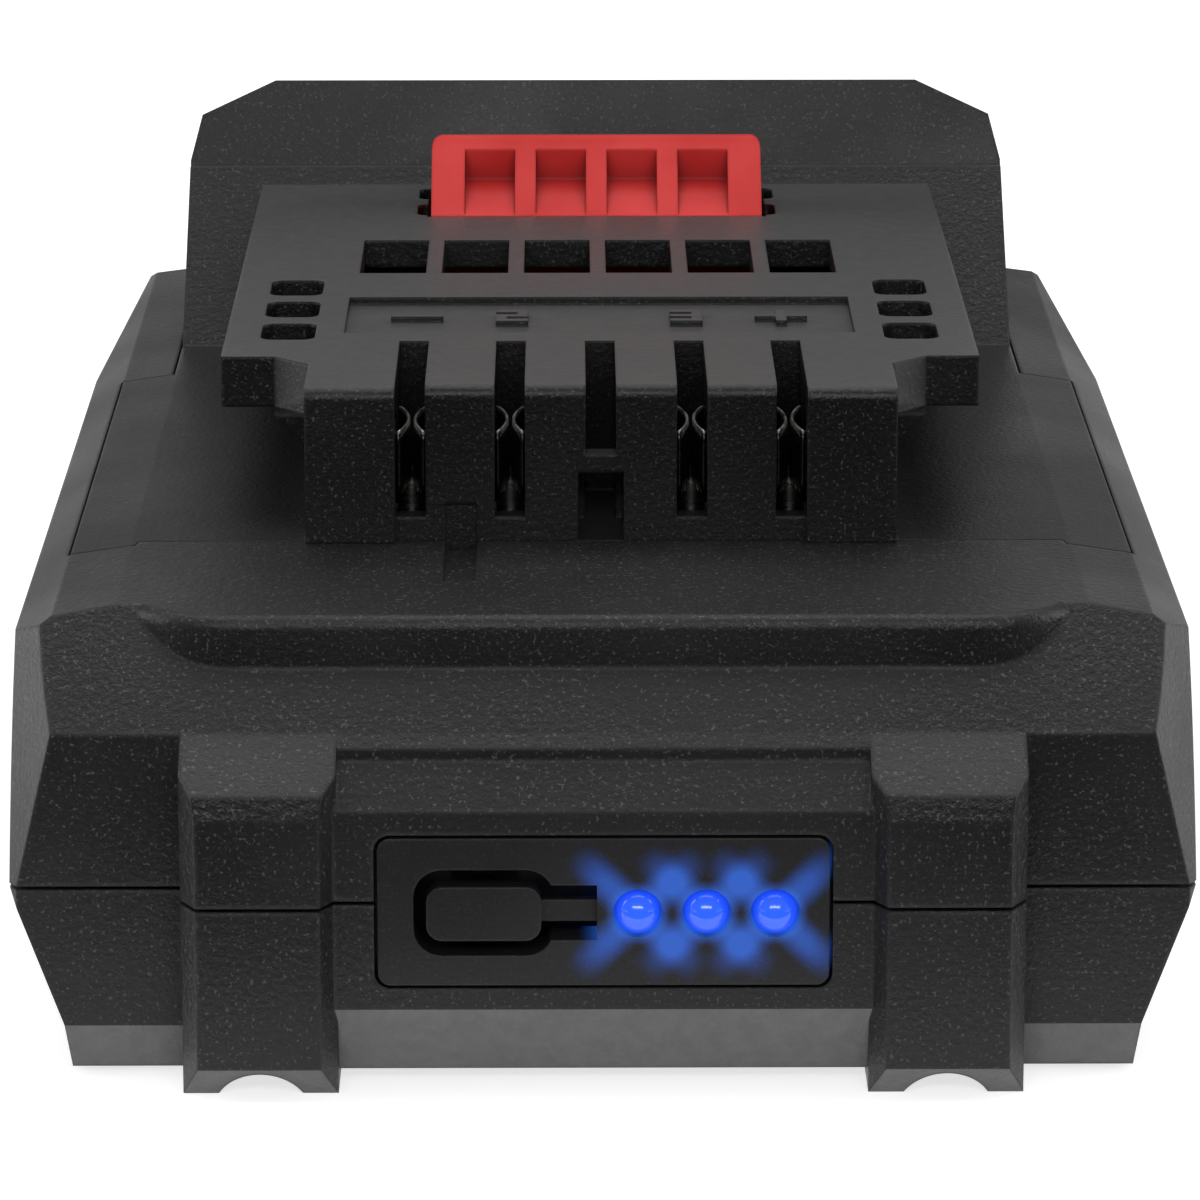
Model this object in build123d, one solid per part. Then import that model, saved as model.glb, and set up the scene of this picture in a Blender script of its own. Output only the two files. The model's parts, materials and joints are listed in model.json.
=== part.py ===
from build123d import *
import math
import os

# Slide-in battery pack for cordless tools, in millimetres.
# X runs across the pack, Y runs from the terminal end to the button end, Z is up.
# The origin is the middle of the footprint, on the plane that the feet rest on.
# Distances "back" are measured from the front faces of the two front ribs.

# Whole pack
pack_length = 119.0
overrun = 1.0
hair = 0.05
seam_gap = 0.24

# Body shell outside, with the insets of its edges from its full half width
body_half_width = 37.5
body_bottom_z = 0.0
foot_drop = 0.5
bottom_inset = 3.75
bottom_edge_z = 3.0
bottom_edge_inset = 3.35
split_z = 12.1
side_top_z = 26.5
deck_edge_inset = 2.6
deck_edge_z = 28.2
plateau_inset = 6.6
plateau_z = 28.8
outer_face_back = 4.85
front_slope_z = 22.2
front_slope_run = 7.0
bottom_edge_run = 0.9
corner_top_inset = 2.86
corner_split_inset = 0.5
corner_low_widening_share = 0.62
corner_high_widening_share = 0.36
rear_taper_length = 32.5
rear_inset = 2.1
rear_top_drop = 1.5
rear_top_run = 1.0
wall = 2.2
floor_wall = 2.8
front_wall = 2.2
edge_wall_share = 0.6

# Front bay, its ledge and the ribs
bay_half_width = 16.9
bay_face_back = 1.55
bay_bottom_z = 5.1
bay_floor_z = 0.55
bay_bottom_run = 2.0
bay_top_z = 18.1
ledge_rise = 2.5
ledge_run = 2.45
ledge_step = 0.9
bay_root_back = 8.0
rib_centre_x = 21.6
rib_half_width = 3.85
rib_bevel = 1.05
rib_bevel_depth = 1.9
rib_top_z = 17.8
rib_top_bevel = 0.3
rib_top_rise = 1.6
foot_chamfer_run = 1.85
foot_chamfer_rise = 1.63
rear_foot_half_width = 5.0
rear_foot_length = 10.0
rear_foot_inset = 2.4

# Tongue in front of the terminal block
tongue_front_back = 8.3
tongue_corner = 7.2
tongue_edge = 0.8
tongue_root_z = 22.5
tongue_slot_half_width = 1.05
tongue_slot_x = -9.2
tongue_slot_length = 10.6
tongue_slot_depth = 0.6
tongue_slot_rise = 2.5
tongue_slot_recess = 0.25

# Deck of the top cover
cover_front_back = 28.15
cover_corner_back = 27.0
cover_step_inset = 0.5
cover_narrow_length = 40.5
cover_rear_inset = 3.0
cover_floor_z = 25.8
cover_gap = 0.16
flange_width = 2.0
flange_thickness = 1.8

# Terminal block and guide rail plate
block_half_width = 19.45
block_lobe_forward = 0.9
block_wall = 1.7
block_edge = 0.7
rail_half_width = 25.4
rail_top_z = 39.2
rail_thickness = 3.45
rail_tip_back = 37.35
rail_tip_width = 3.6
rail_from_rear = 20.5
rail_skin = 2.0
window_count = 6
window_pitch = 5.84
window_width = 4.72
window_front_share = 0.5682
window_length_share = 0.2438
vent_count = 3
vent_width = 3.7
vent_length_share = 0.1074
vent_pitch_share = 0.1498
vent_front_share = 0.1095
vent_centre_x = 21.18
vent_depth = 2.2
vent_corner = 0.9
label_half_width = 17.4
label_front_share = 0.155
label_length_share = 0.2417
label_depth = 0.6
mark_depth = 0.45
mark_back_share = 0.285
mark_size = 3.6
mark_stroke = 0.75
mark_width_share = 0.62

# Terminal slots and spring contacts
slot_offsets = (12.55, 6.0)
slot_width = 2.0
slot_rear_back = 42.2
slot_bottom_z = 30.4
key_slot_bottom_z = 34.6
key_hole_half_width = 1.5
key_hole_top_z = 33.4
key_hole_depth = 6.0
contact_front_back = 30.5
contact_length = 7.4
contact_top_z = 35.65
leaf_height = 4.4
leaf_thickness = 0.4
leaf_pinch_half_gap = 0.12
leaf_flare_half_gap = 0.62
leaf_pinch_share = 0.5
contact_base_half_width = 0.95

# Hump behind the rail, with the thumb button in its rear
hump_foot_from_rear = 30.85
hump_inset = 6.4
hump_crease_from_rear = 19.75
hump_crease_z = 40.35
hump_crease_inset = 6.55
hump_step = 0.5
hump_top_from_rear = 17.4
hump_top_z = 46.65
hump_top_inset = 13.05
hump_shoulder_z = 43.95
hump_shoulder_inset = 7.45
hump_rear_top_from_rear = 10.0
hump_rear_top_z = 44.9
hump_rear_z = 40.5
hump_wall = 2.0
tunnel_half_width = 17.6
tunnel_from_rear = 39.0
thumb_well_half_width = 12.6
thumb_well_from_rear = 12.6
thumb_well_floor_z = 34.0

# Sprung latch
latch_half_width = 12.3
latch_nose_from_rear = 33.25
latch_ramp_run = 4.9
latch_nose_height = 5.0
latch_crest = 1.3
latch_crown = 0.8
latch_clearance = 0.3
latch_stem_bottom_z = 31.2
latch_arm_half_width = 12.0
latch_arm_thickness = 4.6
latch_pad_from_rear = 11.8
latch_pad_length = 6.6
latch_pad_top_z = 43.9
latch_pad_slope_drop = 2.6
latch_corner = 1.1
pocket_count = 4
pocket_width = 3.75
pocket_pitch = 5.3
pocket_floor_rise = 1.9
pocket_run = 4.55
pocket_lip = 0.5
grip_count = 3
grip_pitch = 1.9
grip_height = 0.5
grip_width = 0.7
ear_count = 2
ear_size = 0.75
ear_length = 4.2
ear_pitch = 6.2
spring_x = 7.2
spring_from_rear = 18.0
spring_radius = 3.0
spring_wire = 0.8
spring_room = 0.3
spring_pocket_depth = 3.2
spring_peg_radius = 1.9
spring_peg_height = 1.8
bracket_inset = 12.5
bracket_from_rear = 23.4
bracket_length = 12.2
bracket_thickness = 1.2
bracket_z = 22.2
bracket_screw_inset = 14.5
bracket_screw_from_rear = 13.0

# Cells, their frame and the welded straps
cell_count = 5
cell_spacing = 0.8
cell_row_margin = 24.0
cell_end_inset = 5.1
first_cell_front = 13.1
cell_centre_z = 12.5
cell_edge = 0.6
cell_groove_inset = 3.2
cell_groove_depth = 0.35
cell_groove_width = 0.9
cell_cap_radius = 4.0
cell_cap_height = 0.5
cell_clearance = 0.2
frame_outer_inset = 4.6
frame_inner_inset = 16.5
frame_bottom_z = 4.7
frame_top_z = 19.6
frame_end_margin = 0.55
frame_lip = 2.6
frame_chamfer = 0.8
strap_thickness = 0.2
strap_width = 8.0
strap_overhang = 4.0
strap_tab_width = 3.0
ring_thickness = 0.25
foam_thickness = 0.45
foam_inset = 22.5

# Control board
board_front_back = 27.0
board_from_rear = 24.2
board_inset = 8.9
board_z = 22.4
board_thickness = 1.5
board_post_inset = 12.5
board_post_radius = 1.75
board_screw_radius = 1.0
board_screw_head_radius = 1.9
board_screw_head_height = 1.1
board_screw_depth = 3.0
chip_height = 1.2
# Place across and along the board, half sizes, height
chip_shares = [
    (0, 0.52, 0.17, 0.075, 1),
    (-0.38, 0.41, 0.11, 0.038, 1),
    (-0.38, 0.54, 0.11, 0.038, 1),
    (0.38, 0.41, 0.11, 0.038, 1),
    (0.38, 0.54, 0.11, 0.038, 1),
    (0, 0.70, 0.1, 0.024, 0.8),
    (-0.7, 0.31, 0.056, 0.047, 0.8),
    (0.7, 0.63, 0.056, 0.047, 0.8),
]
carrier_half_width = 16.4
carrier_length = 9.0
carrier_height = 4.2
carrier_gap = 0.25
contact_pocket_half_width = 1.35
contact_pocket_top_z = 36.9
block_solid_back = 43.8

# Charge gauge in the front bay
gauge_half_width = 14.15
gauge_bottom_z = 6.7
gauge_top_z = 16.3
gauge_corner = 0.8
gauge_gap = 0.22
gauge_flange = 1.0
gauge_flange_thickness = 1.0
gauge_pocket_back = 3.45
button_centre_x = -7.5
button_half_width = 3.6
button_centre_z = 11.45
button_half_height = 1.75
button_gap = 0.8
button_corner = 1.0
button_thickness = 1.5
bridge_half_height = 0.7
button_proud = 0.25
button_gap_z = 1.05
neck_half_height = 1.8
hinge_x = -0.4
bridge_thickness = 0.7
post_radius = 0.9
led_count = 3
led_x = 2.15
led_pitch = 4.3
led_z = 11.4
lens_radius = 1.5
lens_proud = 0.75
lens_clearance = 0.06
lens_flange_radius = 1.9
lens_flange_length = 0.8
lens_gap = 0.1
gauge_board_back = 8.3
gauge_board_thickness = 1.0
gauge_board_half_width = 14.2
gauge_board_bottom_z = 5.9
gauge_board_top_z = 17.1
gauge_post_x = 12.9
gauge_post_rise = 4.0
gauge_post_radius = 0.9
gauge_pin_radius = 0.55
gauge_pin_end = 0.5
led_chip_half = 1.0
led_chip_height = 0.9
switch_half = 2.1
switch_height = 1.9
plunger_radius = 1.0
plunger_proud = 0.45
plunger_length = 1.1
plunger_travel = 0.35
plunger_gap = 0.35
ribbon_half_width = 2.4
ribbon_thickness = 0.2
ribbon_lift = 0.1
ribbon_end_back = 37.0
sensor_half = 2.0
ribbon_foot_z = 12.0
plug_length = 3.6
plug_margin = 0.8

# Screws
screw_head_radius = 2.75
screw_head_height = 2.0
screw_radius = 1.45
screw_clearance = 0.05
screw_tip_z = 16.5
screw_seat_z = 4.2
screw_bore_radius = 3.1
screw_back = 3.45
rear_screw_inset = 16.15
rear_screw_from_rear = 6.6
rear_boss_radius = 3.9
drive_radius = 1.2
drive_depth = 1.2

# Places worked out from the sizes above
half_length = pack_length / 2
bottom_half_width = body_half_width - bottom_inset
bottom_edge_half_width = body_half_width - bottom_edge_inset
deck_edge_half_width = body_half_width - deck_edge_inset
plateau_half_width = body_half_width - plateau_inset
corner_top_half_width = body_half_width - corner_top_inset
corner_split_half_width = body_half_width - corner_split_inset
rear_half_width = body_half_width - rear_inset
cover_step_x = plateau_half_width - cover_step_inset
hump_half_width = body_half_width - hump_inset
hump_crease_half_width = body_half_width - hump_crease_inset
hump_top_half_width = body_half_width - hump_top_inset
hump_shoulder_half_width = body_half_width - hump_shoulder_inset
frame_outer_x = body_half_width - frame_outer_inset
frame_inner_x = body_half_width - frame_inner_inset
foam_half_width = body_half_width - foam_inset
board_half_width = body_half_width - board_inset
board_post_x = body_half_width - board_post_inset
bracket_half_width = body_half_width - bracket_inset
bracket_screw_x = body_half_width - bracket_screw_inset
rear_screw_x = body_half_width - rear_screw_inset
rear_taper_back = pack_length - rear_taper_length
cover_wide_end_back = pack_length - cover_narrow_length
rail_rear_back = pack_length - rail_from_rear
hump_foot_back = pack_length - hump_foot_from_rear
hump_crease_back = pack_length - hump_crease_from_rear
hump_top_back = pack_length - hump_top_from_rear
hump_rear_top_back = pack_length - hump_rear_top_from_rear
tunnel_front_back = pack_length - tunnel_from_rear
thumb_well_front_back = pack_length - thumb_well_from_rear
latch_nose_back = pack_length - latch_nose_from_rear
latch_pad_front_back = pack_length - latch_pad_from_rear
spring_back = pack_length - spring_from_rear
bracket_front_back = pack_length - bracket_from_rear
bracket_screw_back = pack_length - bracket_screw_from_rear
board_rear_back = pack_length - board_from_rear
rear_screw_back = pack_length - rear_screw_from_rear
plate_run = latch_nose_back - rail_tip_back
window_front_back = rail_tip_back + plate_run * window_front_share
window_length = plate_run * window_length_share
vent_front_back = rail_tip_back + plate_run * vent_front_share
vent_length = plate_run * vent_length_share
vent_pitch = plate_run * vent_pitch_share
label_front_back = rail_tip_back + plate_run * label_front_share
label_length = plate_run * label_length_share
mark_back = rail_tip_back + plate_run * mark_back_share
block_lobe_inner_x = slot_offsets[0] + slot_width / 2
hump_fall_share = (hump_top_z - hump_rear_top_z) / (hump_rear_top_back - hump_top_back)
cell_pitch = (pack_length - cell_row_margin) / cell_count
cell_radius = (cell_pitch - cell_spacing) / 2
cell_length = (body_half_width - cell_end_inset) * 2
first_cell_back = first_cell_front + cell_pitch / 2
frame_lip_radius = cell_radius - frame_lip
cell_backs = [first_cell_back + cell_pitch * i for i in range(cell_count)]
cell_face_x = cell_length / 2
slot_centres = [side * offset for offset in slot_offsets for side in (-1, 1)]
carrier_top_z = board_z + board_thickness + carrier_height
latch_arm_top_z = latch_stem_bottom_z + latch_arm_thickness
latch_nose_top_z = rail_top_z + latch_nose_height
latch_rear_back = latch_nose_back + latch_ramp_run + latch_crest
board_top_z = board_z + board_thickness
rail_under_z = rail_top_z - rail_thickness
cell_top_z = cell_centre_z + cell_radius
ribbon_top_z = cell_top_z + ribbon_lift + ribbon_thickness
flange_rear_back = gauge_pocket_back + hair + gauge_flange_thickness
chip_front_back = gauge_board_back - led_chip_height
switch_front_back = gauge_board_back - switch_height
plunger_front_back = switch_front_back - plunger_proud
gauge_post_places = [
    (side * gauge_post_x, led_z + rise)
    for side in (-1, 1)
    for rise in (-gauge_post_rise, gauge_post_rise)
]
board_post_backs = (cell_backs[0] + cell_pitch / 2, cell_backs[-1] - cell_pitch / 2)
frame_screw_places = [
    (side * board_post_x, back, board_z) for back in board_post_backs for side in (-1, 1)
] + [(side * bracket_screw_x, bracket_screw_back, bracket_z) for side in (-1, 1)]
strap_plan = [
    (0, 2, -1, cell_backs[0] + cell_pitch / 2 + board_post_radius * 2),
    (2, 2, -1, cell_backs[2] + cell_pitch / 2),
    (4, 1, -1, cell_backs[4] - strap_overhang - strap_tab_width / 2),
    (0, 1, 1, cell_backs[0] + strap_overhang + strap_tab_width),
    (1, 2, 1, cell_backs[1] + cell_pitch / 2),
    (3, 2, 1, cell_backs[3] + cell_pitch / 2 - board_post_radius * 2),
]
button_front_back = bay_face_back - button_proud
cover_rear_back = pack_length - cover_rear_inset
hump_rear_back = cover_rear_back
gauge_board_rear_back = gauge_board_back + gauge_board_thickness
screw_places = [
    (side * x, back)
    for x, back in ((rib_centre_x, screw_back), (rear_screw_x, rear_screw_back))
    for side in (-1, 1)
]


def at(back):
    """Y of a place that lies the given distance behind the front ribs."""
    return back - half_length


def block(x0, x1, back0, back1, z0, z1):
    """A box between two X places, two distances back and two heights."""
    size = Box(x1 - x0, back1 - back0, z1 - z0)
    return Pos((x0 + x1) / 2, at((back0 + back1) / 2), (z0 + z1) / 2) * size


def upright(points, z0, z1):
    """A plan outline of (x, back) points, raised from z0 to z1."""
    outline = make_face(Polyline(*[(x, at(back), z0) for x, back in points], close=True))
    return extrude(outline, amount=z1 - z0, dir=(0, 0, 1))


def across(points, x0, x1):
    """A side outline of (back, z) points, drawn across from x0 to x1."""
    outline = make_face(Polyline(*[(x0, at(back), z) for back, z in points], close=True))
    return extrude(outline, amount=x1 - x0, dir=(1, 0, 0))


def along(points, back0, back1):
    """A front outline of (x, z) points, drawn back from back0 to back1."""
    outline = make_face(Polyline(*[(x, at(back0), z) for x, z in points], close=True))
    return extrude(outline, amount=back1 - back0, dir=(0, 1, 0))


def mirrored(points):
    """The points of a right-hand outline, closed by their mirror images."""
    return points + [(-x, other) for x, other in reversed(points)]


def post(x, back, z0, z1, radius):
    """An upright round bar."""
    return Pos(x, at(back), (z0 + z1) / 2) * Cylinder(radius, z1 - z0)


def dowel(x, z, back0, back1, radius):
    """A round bar that runs from front to back."""
    bar = Rot(90, 0, 0) * Cylinder(radius, back1 - back0)
    return Pos(x, at((back0 + back1) / 2), z) * bar


def both_sides(shape):
    """A shape and its mirror image across the middle plane."""
    return shape + mirror(shape, about=Plane.YZ)


def rounded_block(x0, x1, back0, back1, z0, z1, corner):
    """A front plate whose four corners, seen from the front, are rounded."""
    plate = block(x0, x1, back0, back1, z0, z1)
    return fillet(plate.edges().filter_by(Axis.Y), corner)


def save(shape, node):
    """Write one node, raised so that the feet rest on the ground plane."""
    export_step(Pos(0, 0, foot_drop) * shape, f"parts/{node}.step")


def corner_cut(inset, side):
    """The slanted plane that trims a front corner above the split."""
    slope = (corner_split_half_width - corner_top_half_width) / (front_slope_z - split_z)
    far = body_half_width + overrun
    back0 = -overrun
    back1 = outer_face_back + (far - corner_top_half_width) / corner_high_widening_share * 2

    def layer(z, share):
        start = corner_split_half_width - slope * (z - split_z) - inset
        x0 = start + share * (back0 - outer_face_back)
        x1 = start + share * (back1 - outer_face_back)
        points = [(x0, back0), (far * 2, back0), (far * 2, back1), (x1, back1)]
        return make_face(Polyline(*[(side * x, at(back), z) for x, back in points], close=True))

    low = layer(split_z, corner_low_widening_share)
    high = layer(plateau_z + overrun, corner_high_widening_share)
    below = extrude(low, amount=split_z + overrun, dir=(0, 0, -1))
    return loft([low, high], ruled=True) + below


def body_solid(inset, bottom, front):
    """The body's outer form, or its cavity when the insets are above zero."""
    section = mirrored([
        (bottom_half_width - inset / 2, body_bottom_z + bottom),
        (bottom_edge_half_width - inset * edge_wall_share, bottom_edge_z + bottom / 2),
        (body_half_width - inset, split_z),
        (body_half_width - inset, side_top_z - inset / 2),
        (deck_edge_half_width - inset, deck_edge_z - inset),
        (plateau_half_width, plateau_z - inset),
    ])
    shape = along(section, 0, pack_length)
    rear = pack_length - inset
    slope_rise = plateau_z - front_slope_z
    side = [
        (outer_face_back + front + bottom_edge_run, body_bottom_z + bottom),
        (outer_face_back + front, bottom_edge_z + bottom),
        (outer_face_back + front, front_slope_z - inset / 2),
        (outer_face_back + front + front_slope_run, front_slope_z + slope_rise - inset / 2),
        (outer_face_back + front + front_slope_run, plateau_z + overrun),
        (rear - rear_top_run, plateau_z + overrun),
        (rear - rear_top_run, plateau_z - inset),
        (rear, plateau_z - rear_top_drop - inset),
        (rear, bottom_edge_z + bottom),
        (rear - bottom_edge_run, body_bottom_z + bottom),
    ]
    shape &= across(side, -body_half_width, body_half_width)
    plan = mirrored([
        (body_half_width - inset, 0),
        (body_half_width - inset, rear_taper_back),
        (rear_half_width - inset, pack_length),
    ])
    shape &= upright(plan, 0, plateau_z + overrun)
    for side_sign in (-1, 1):
        shape -= corner_cut(inset, side_sign)
    return shape


def bay_solid():
    """The raised front bay with its sloping ledge and bottom chamfer."""
    ledge_back = bay_face_back + ledge_run
    side = [
        (bay_face_back + bay_bottom_run, bay_floor_z),
        (bay_face_back, bay_bottom_z),
        (bay_face_back, bay_top_z),
        (ledge_back, bay_top_z + ledge_rise),
        (ledge_back, bay_top_z + ledge_rise + ledge_step),
        (outer_face_back, front_slope_z),
        (bay_root_back, front_slope_z),
        (bay_root_back, bay_floor_z),
    ]
    return across(side, -bay_half_width, bay_half_width)


def rib_solid(side_sign):
    """One front rib, bevelled at its top and sides, with its foot."""
    side = [
        (foot_chamfer_run, -foot_drop),
        (0, foot_chamfer_rise),
        (0, rib_top_z),
        (rib_top_bevel, rib_top_z + rib_top_rise),
        (outer_face_back, front_slope_z),
        (bay_root_back, front_slope_z),
        (bay_root_back, -foot_drop),
    ]
    outer = rib_half_width + rib_bevel
    centre = side_sign * rib_centre_x
    shape = across(side, centre - outer, centre + outer)
    plan = [
        (centre - rib_half_width, 0),
        (centre + rib_half_width, 0),
        (centre + outer, rib_bevel_depth),
        (centre + outer, bay_root_back),
        (centre - outer, bay_root_back),
        (centre - outer, rib_bevel_depth),
    ]
    return shape & upright(plan, -foot_drop, front_slope_z)


def rear_foot(side_sign):
    """A low pad under a rear screw."""
    centre = side_sign * rear_screw_x
    back1 = pack_length - rear_foot_inset
    pad = block(centre - rear_foot_half_width, centre + rear_foot_half_width,
                back1 - rear_foot_length, back1, -foot_drop, bottom_edge_z)
    return fillet(pad.edges().filter_by(Axis.Z), gauge_corner)


def tongue_solid():
    """The raised tongue that leads the tool on to the terminals."""
    shape = block(-plateau_half_width, plateau_half_width, tongue_front_back,
                  cover_front_back + overrun, tongue_root_z, plateau_z)
    corners = shape.edges().filter_by(Axis.Z).sort_by(Axis.Y)[:2]
    shape = fillet(corners, tongue_corner)
    edges = shape.faces().sort_by(Axis.Z)[-1].edges()
    front = [e for e in edges if e.center().Y < at(tongue_front_back + tongue_corner)]
    return fillet(front, tongue_edge)


def tongue_slot():
    """The long shallow slot in the tongue's top."""
    return block(tongue_slot_x - tongue_slot_half_width, tongue_slot_x + tongue_slot_half_width,
                 cover_front_back - tongue_slot_length, cover_front_back + overrun * 2,
                 plateau_z - tongue_slot_depth, plateau_z + overrun)


def cover_plan(offset):
    """Outline of the top cover, grown by an offset."""
    return mirrored([
        (cover_step_x, cover_front_back - offset),
        (cover_step_x + seam_gap, cover_corner_back - offset),
        (deck_edge_half_width + offset, cover_corner_back - offset),
        (deck_edge_half_width + offset, cover_wide_end_back + offset),
        (hump_half_width + offset, cover_wide_end_back + offset),
        (hump_half_width + offset, cover_rear_back + offset),
    ])


def outer_body():
    """Everything that the two body shells show on the outside."""
    shape = body_solid(0, 0, 0) + bay_solid() + tongue_solid()
    for side_sign in (-1, 1):
        shape += rib_solid(side_sign)
        shape += rear_foot(side_sign)
    return shape - tongue_slot()


def gauge_opening():
    """The window that the charge gauge sits in, and the room behind it."""
    x = gauge_half_width + gauge_gap
    hole = rounded_block(-x, x, 0, gauge_pocket_back + overrun,
                         gauge_bottom_z - gauge_gap, gauge_top_z + gauge_gap,
                         gauge_corner + gauge_gap)
    x = gauge_half_width + gauge_flange + gauge_gap
    room = block(-x, x, gauge_pocket_back, bay_root_back + overrun * 2,
                 gauge_bottom_z - gauge_flange - gauge_gap,
                 gauge_top_z + gauge_flange + gauge_gap)
    return hole + room


def screw_holes():
    """Head recesses and shank holes of the four housing screws."""
    holes = None
    for x, back in screw_places:
        hole = post(x, back, -overrun, screw_seat_z, screw_bore_radius)
        hole += post(x, back, 0, screw_tip_z + overrun, screw_radius + screw_clearance)
        holes = hole if holes is None else holes + hole
    return holes


def boss(x, back, z0, z1):
    """A screw boss inside the shells, tied to the end wall."""
    end = pack_length - wall
    web = block(x - rear_boss_radius, x + rear_boss_radius, back, end, z0, z1)
    return post(x, back, z0, z1, rear_boss_radius) + web


def make_lower_housing(outer, cavity):
    shape = outer & block(-pack_length, pack_length, -overrun, pack_length + overrun,
                          -overrun, split_z - seam_gap / 2)
    shape -= cavity
    for side_sign in (-1, 1):
        shape += boss(side_sign * rear_screw_x, rear_screw_back,
                      body_bottom_z, split_z - seam_gap / 2)
    for back in (first_cell_back + cell_pitch / 2, cell_backs[-1] - cell_pitch / 2):
        for side_sign in (-1, 1):
            x = side_sign * (foam_half_width + strap_overhang)
            shape += block(x - wall / 2, x + wall / 2, back - wall, back + wall,
                           body_bottom_z + hair, cell_centre_z - cell_radius - hair)
    return shape - gauge_opening() - screw_holes()


def make_upper_housing(outer, cavity):
    shape = outer & block(-pack_length, pack_length, -overrun, pack_length + overrun,
                          split_z + seam_gap / 2, plateau_z + overrun)
    shape -= cavity
    ring = upright(cover_plan(cover_gap + flange_width / 2),
                   cover_floor_z - flange_thickness, cover_floor_z)
    ring &= body_solid(wall / 2, 0, wall / 2)
    shape += ring
    shape -= upright(cover_plan(cover_gap), cover_floor_z, plateau_z + overrun * 2)
    inside = mirrored([
        (deck_edge_half_width - flange_width, cover_front_back + flange_width),
        (deck_edge_half_width - flange_width, cover_wide_end_back - flange_width),
        (hump_half_width - flange_width, cover_wide_end_back - flange_width),
        (hump_half_width - flange_width, cover_rear_back - flange_width),
    ])
    shape -= upright(inside, cover_floor_z - flange_thickness - overrun, plateau_z)
    for side_sign in (-1, 1):
        shape += boss(side_sign * rear_screw_x, rear_screw_back,
                      split_z + seam_gap / 2, cover_floor_z - flange_thickness)
    return shape - gauge_opening() - screw_holes()


def hump_solid(inset):
    """The rear hump, or the room inside it when the inset is above zero."""
    side = [
        (hump_foot_back + inset * 2, cover_floor_z),
        (hump_foot_back + inset * 2, plateau_z),
        (hump_crease_back + inset * 2, hump_crease_z),
        (hump_crease_back + hump_step + inset, hump_crease_z - inset / 2),
        (hump_top_back + inset, hump_top_z - inset),
        (hump_rear_top_back - inset / 2, hump_rear_top_z - inset),
        (hump_rear_back - inset, hump_rear_z - inset),
        (hump_rear_back - inset, cover_floor_z),
    ]
    shape = across(side, -hump_half_width, hump_half_width)
    lift = hump_fall_share * (hump_top_back - hump_foot_back)
    section = mirrored([
        (hump_half_width - inset, 0),
        (hump_half_width - inset, plateau_z),
        (hump_crease_half_width - inset, hump_crease_z + lift - inset / 2),
        (hump_shoulder_half_width - inset, hump_shoulder_z + lift - inset),
        (hump_top_half_width - inset, hump_top_z + lift - inset),
    ])
    outline = make_face(Polyline(*[(x, at(hump_foot_back), z) for x, z in section], close=True))
    run = (pack_length - hump_foot_back) * math.hypot(1, hump_fall_share)
    return shape & extrude(outline, amount=run, dir=(0, 1, -hump_fall_share))


def rail_plate():
    """The guide plate that overhangs the block on both sides."""
    inner = block_half_width + hair
    tip_inner = rail_half_width - rail_tip_width
    wedge_back = rail_tip_back - (tip_inner - inner)
    plan = mirrored([
        (inner, wedge_back),
        (tip_inner, rail_tip_back),
        (rail_half_width, rail_tip_back),
        (rail_half_width, rail_rear_back),
    ])
    plate = upright(plan, rail_under_z, rail_top_z)
    under = mirrored([
        (inner, rail_under_z - (tip_inner - inner)),
        (tip_inner, rail_under_z),
    ])
    gusset = along([(x, z) for x, z in under[:2]] + [(inner, rail_under_z)],
                   wedge_back, rail_rear_back)
    return plate + both_sides(gusset)


def terminal_block():
    """The block under the rail plate, with forward lobes at both ends."""
    shape = block(-block_half_width, block_half_width, cover_front_back, rail_rear_back,
                  cover_floor_z, rail_top_z)
    lobe = block(block_lobe_inner_x, block_half_width, cover_front_back - block_lobe_forward,
                 cover_front_back + overrun, plateau_z, rail_top_z)
    shape += both_sides(lobe)
    front = shape.edges().filter_by(Axis.X).filter_by(
        lambda e: e.center().Y < at(cover_front_back + hair) and e.center().Z > rail_top_z - hair)
    return fillet(front, block_edge)


def plate_openings():
    """Windows, vents, label recess, terminal slots and the latch slot."""
    cuts = None
    for i in range(window_count):
        x = (i - (window_count - 1) / 2) * window_pitch
        cut = block(x - window_width / 2, x + window_width / 2, window_front_back,
                    window_front_back + window_length, rail_under_z, rail_top_z + overrun)
        cuts = cut if cuts is None else cuts + cut
    for i in range(vent_count):
        back = vent_front_back + i * vent_pitch
        vent = block(vent_centre_x - vent_width / 2, vent_centre_x + vent_width / 2, back,
                     back + vent_length, rail_top_z - vent_depth, rail_top_z + overrun)
        vent = fillet(vent.edges().filter_by(Axis.Z), vent_corner)
        cuts += both_sides(vent)
    cuts += block(-label_half_width, label_half_width, label_front_back,
                  label_front_back + label_length, rail_top_z - label_depth, rail_top_z + overrun)
    for x in slot_centres:
        cuts += block(x - slot_width / 2, x + slot_width / 2, 0, slot_rear_back,
                      slot_bottom_z, rail_top_z + overrun)
    cuts += block(-slot_width / 2, slot_width / 2, 0, slot_rear_back,
                  key_slot_bottom_z, rail_top_z + overrun)
    cuts += block(-key_hole_half_width, key_hole_half_width, 0, cover_front_back + key_hole_depth,
                  plateau_z, key_hole_top_z)
    cuts += block(-slot_width / 2, slot_width / 2, cover_front_back + block_wall, slot_rear_back,
                  plateau_z, rail_top_z + overrun)
    half = latch_half_width + latch_clearance
    cuts += block(-half, half, latch_nose_back - latch_clearance,
                  latch_rear_back + latch_clearance, cover_floor_z - overrun, rail_top_z + overrun)
    for i in range(ear_count):
        back = latch_nose_back + latch_clearance + ear_pitch * i
        ear = rounded_ear(half, back)
        cuts += both_sides(ear)
    slot_half = tongue_slot_half_width
    cuts += block(tongue_slot_x - slot_half, tongue_slot_x + slot_half, 0,
                  cover_front_back + tongue_slot_recess, cover_floor_z,
                  plateau_z + tongue_slot_rise)
    return cuts


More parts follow.
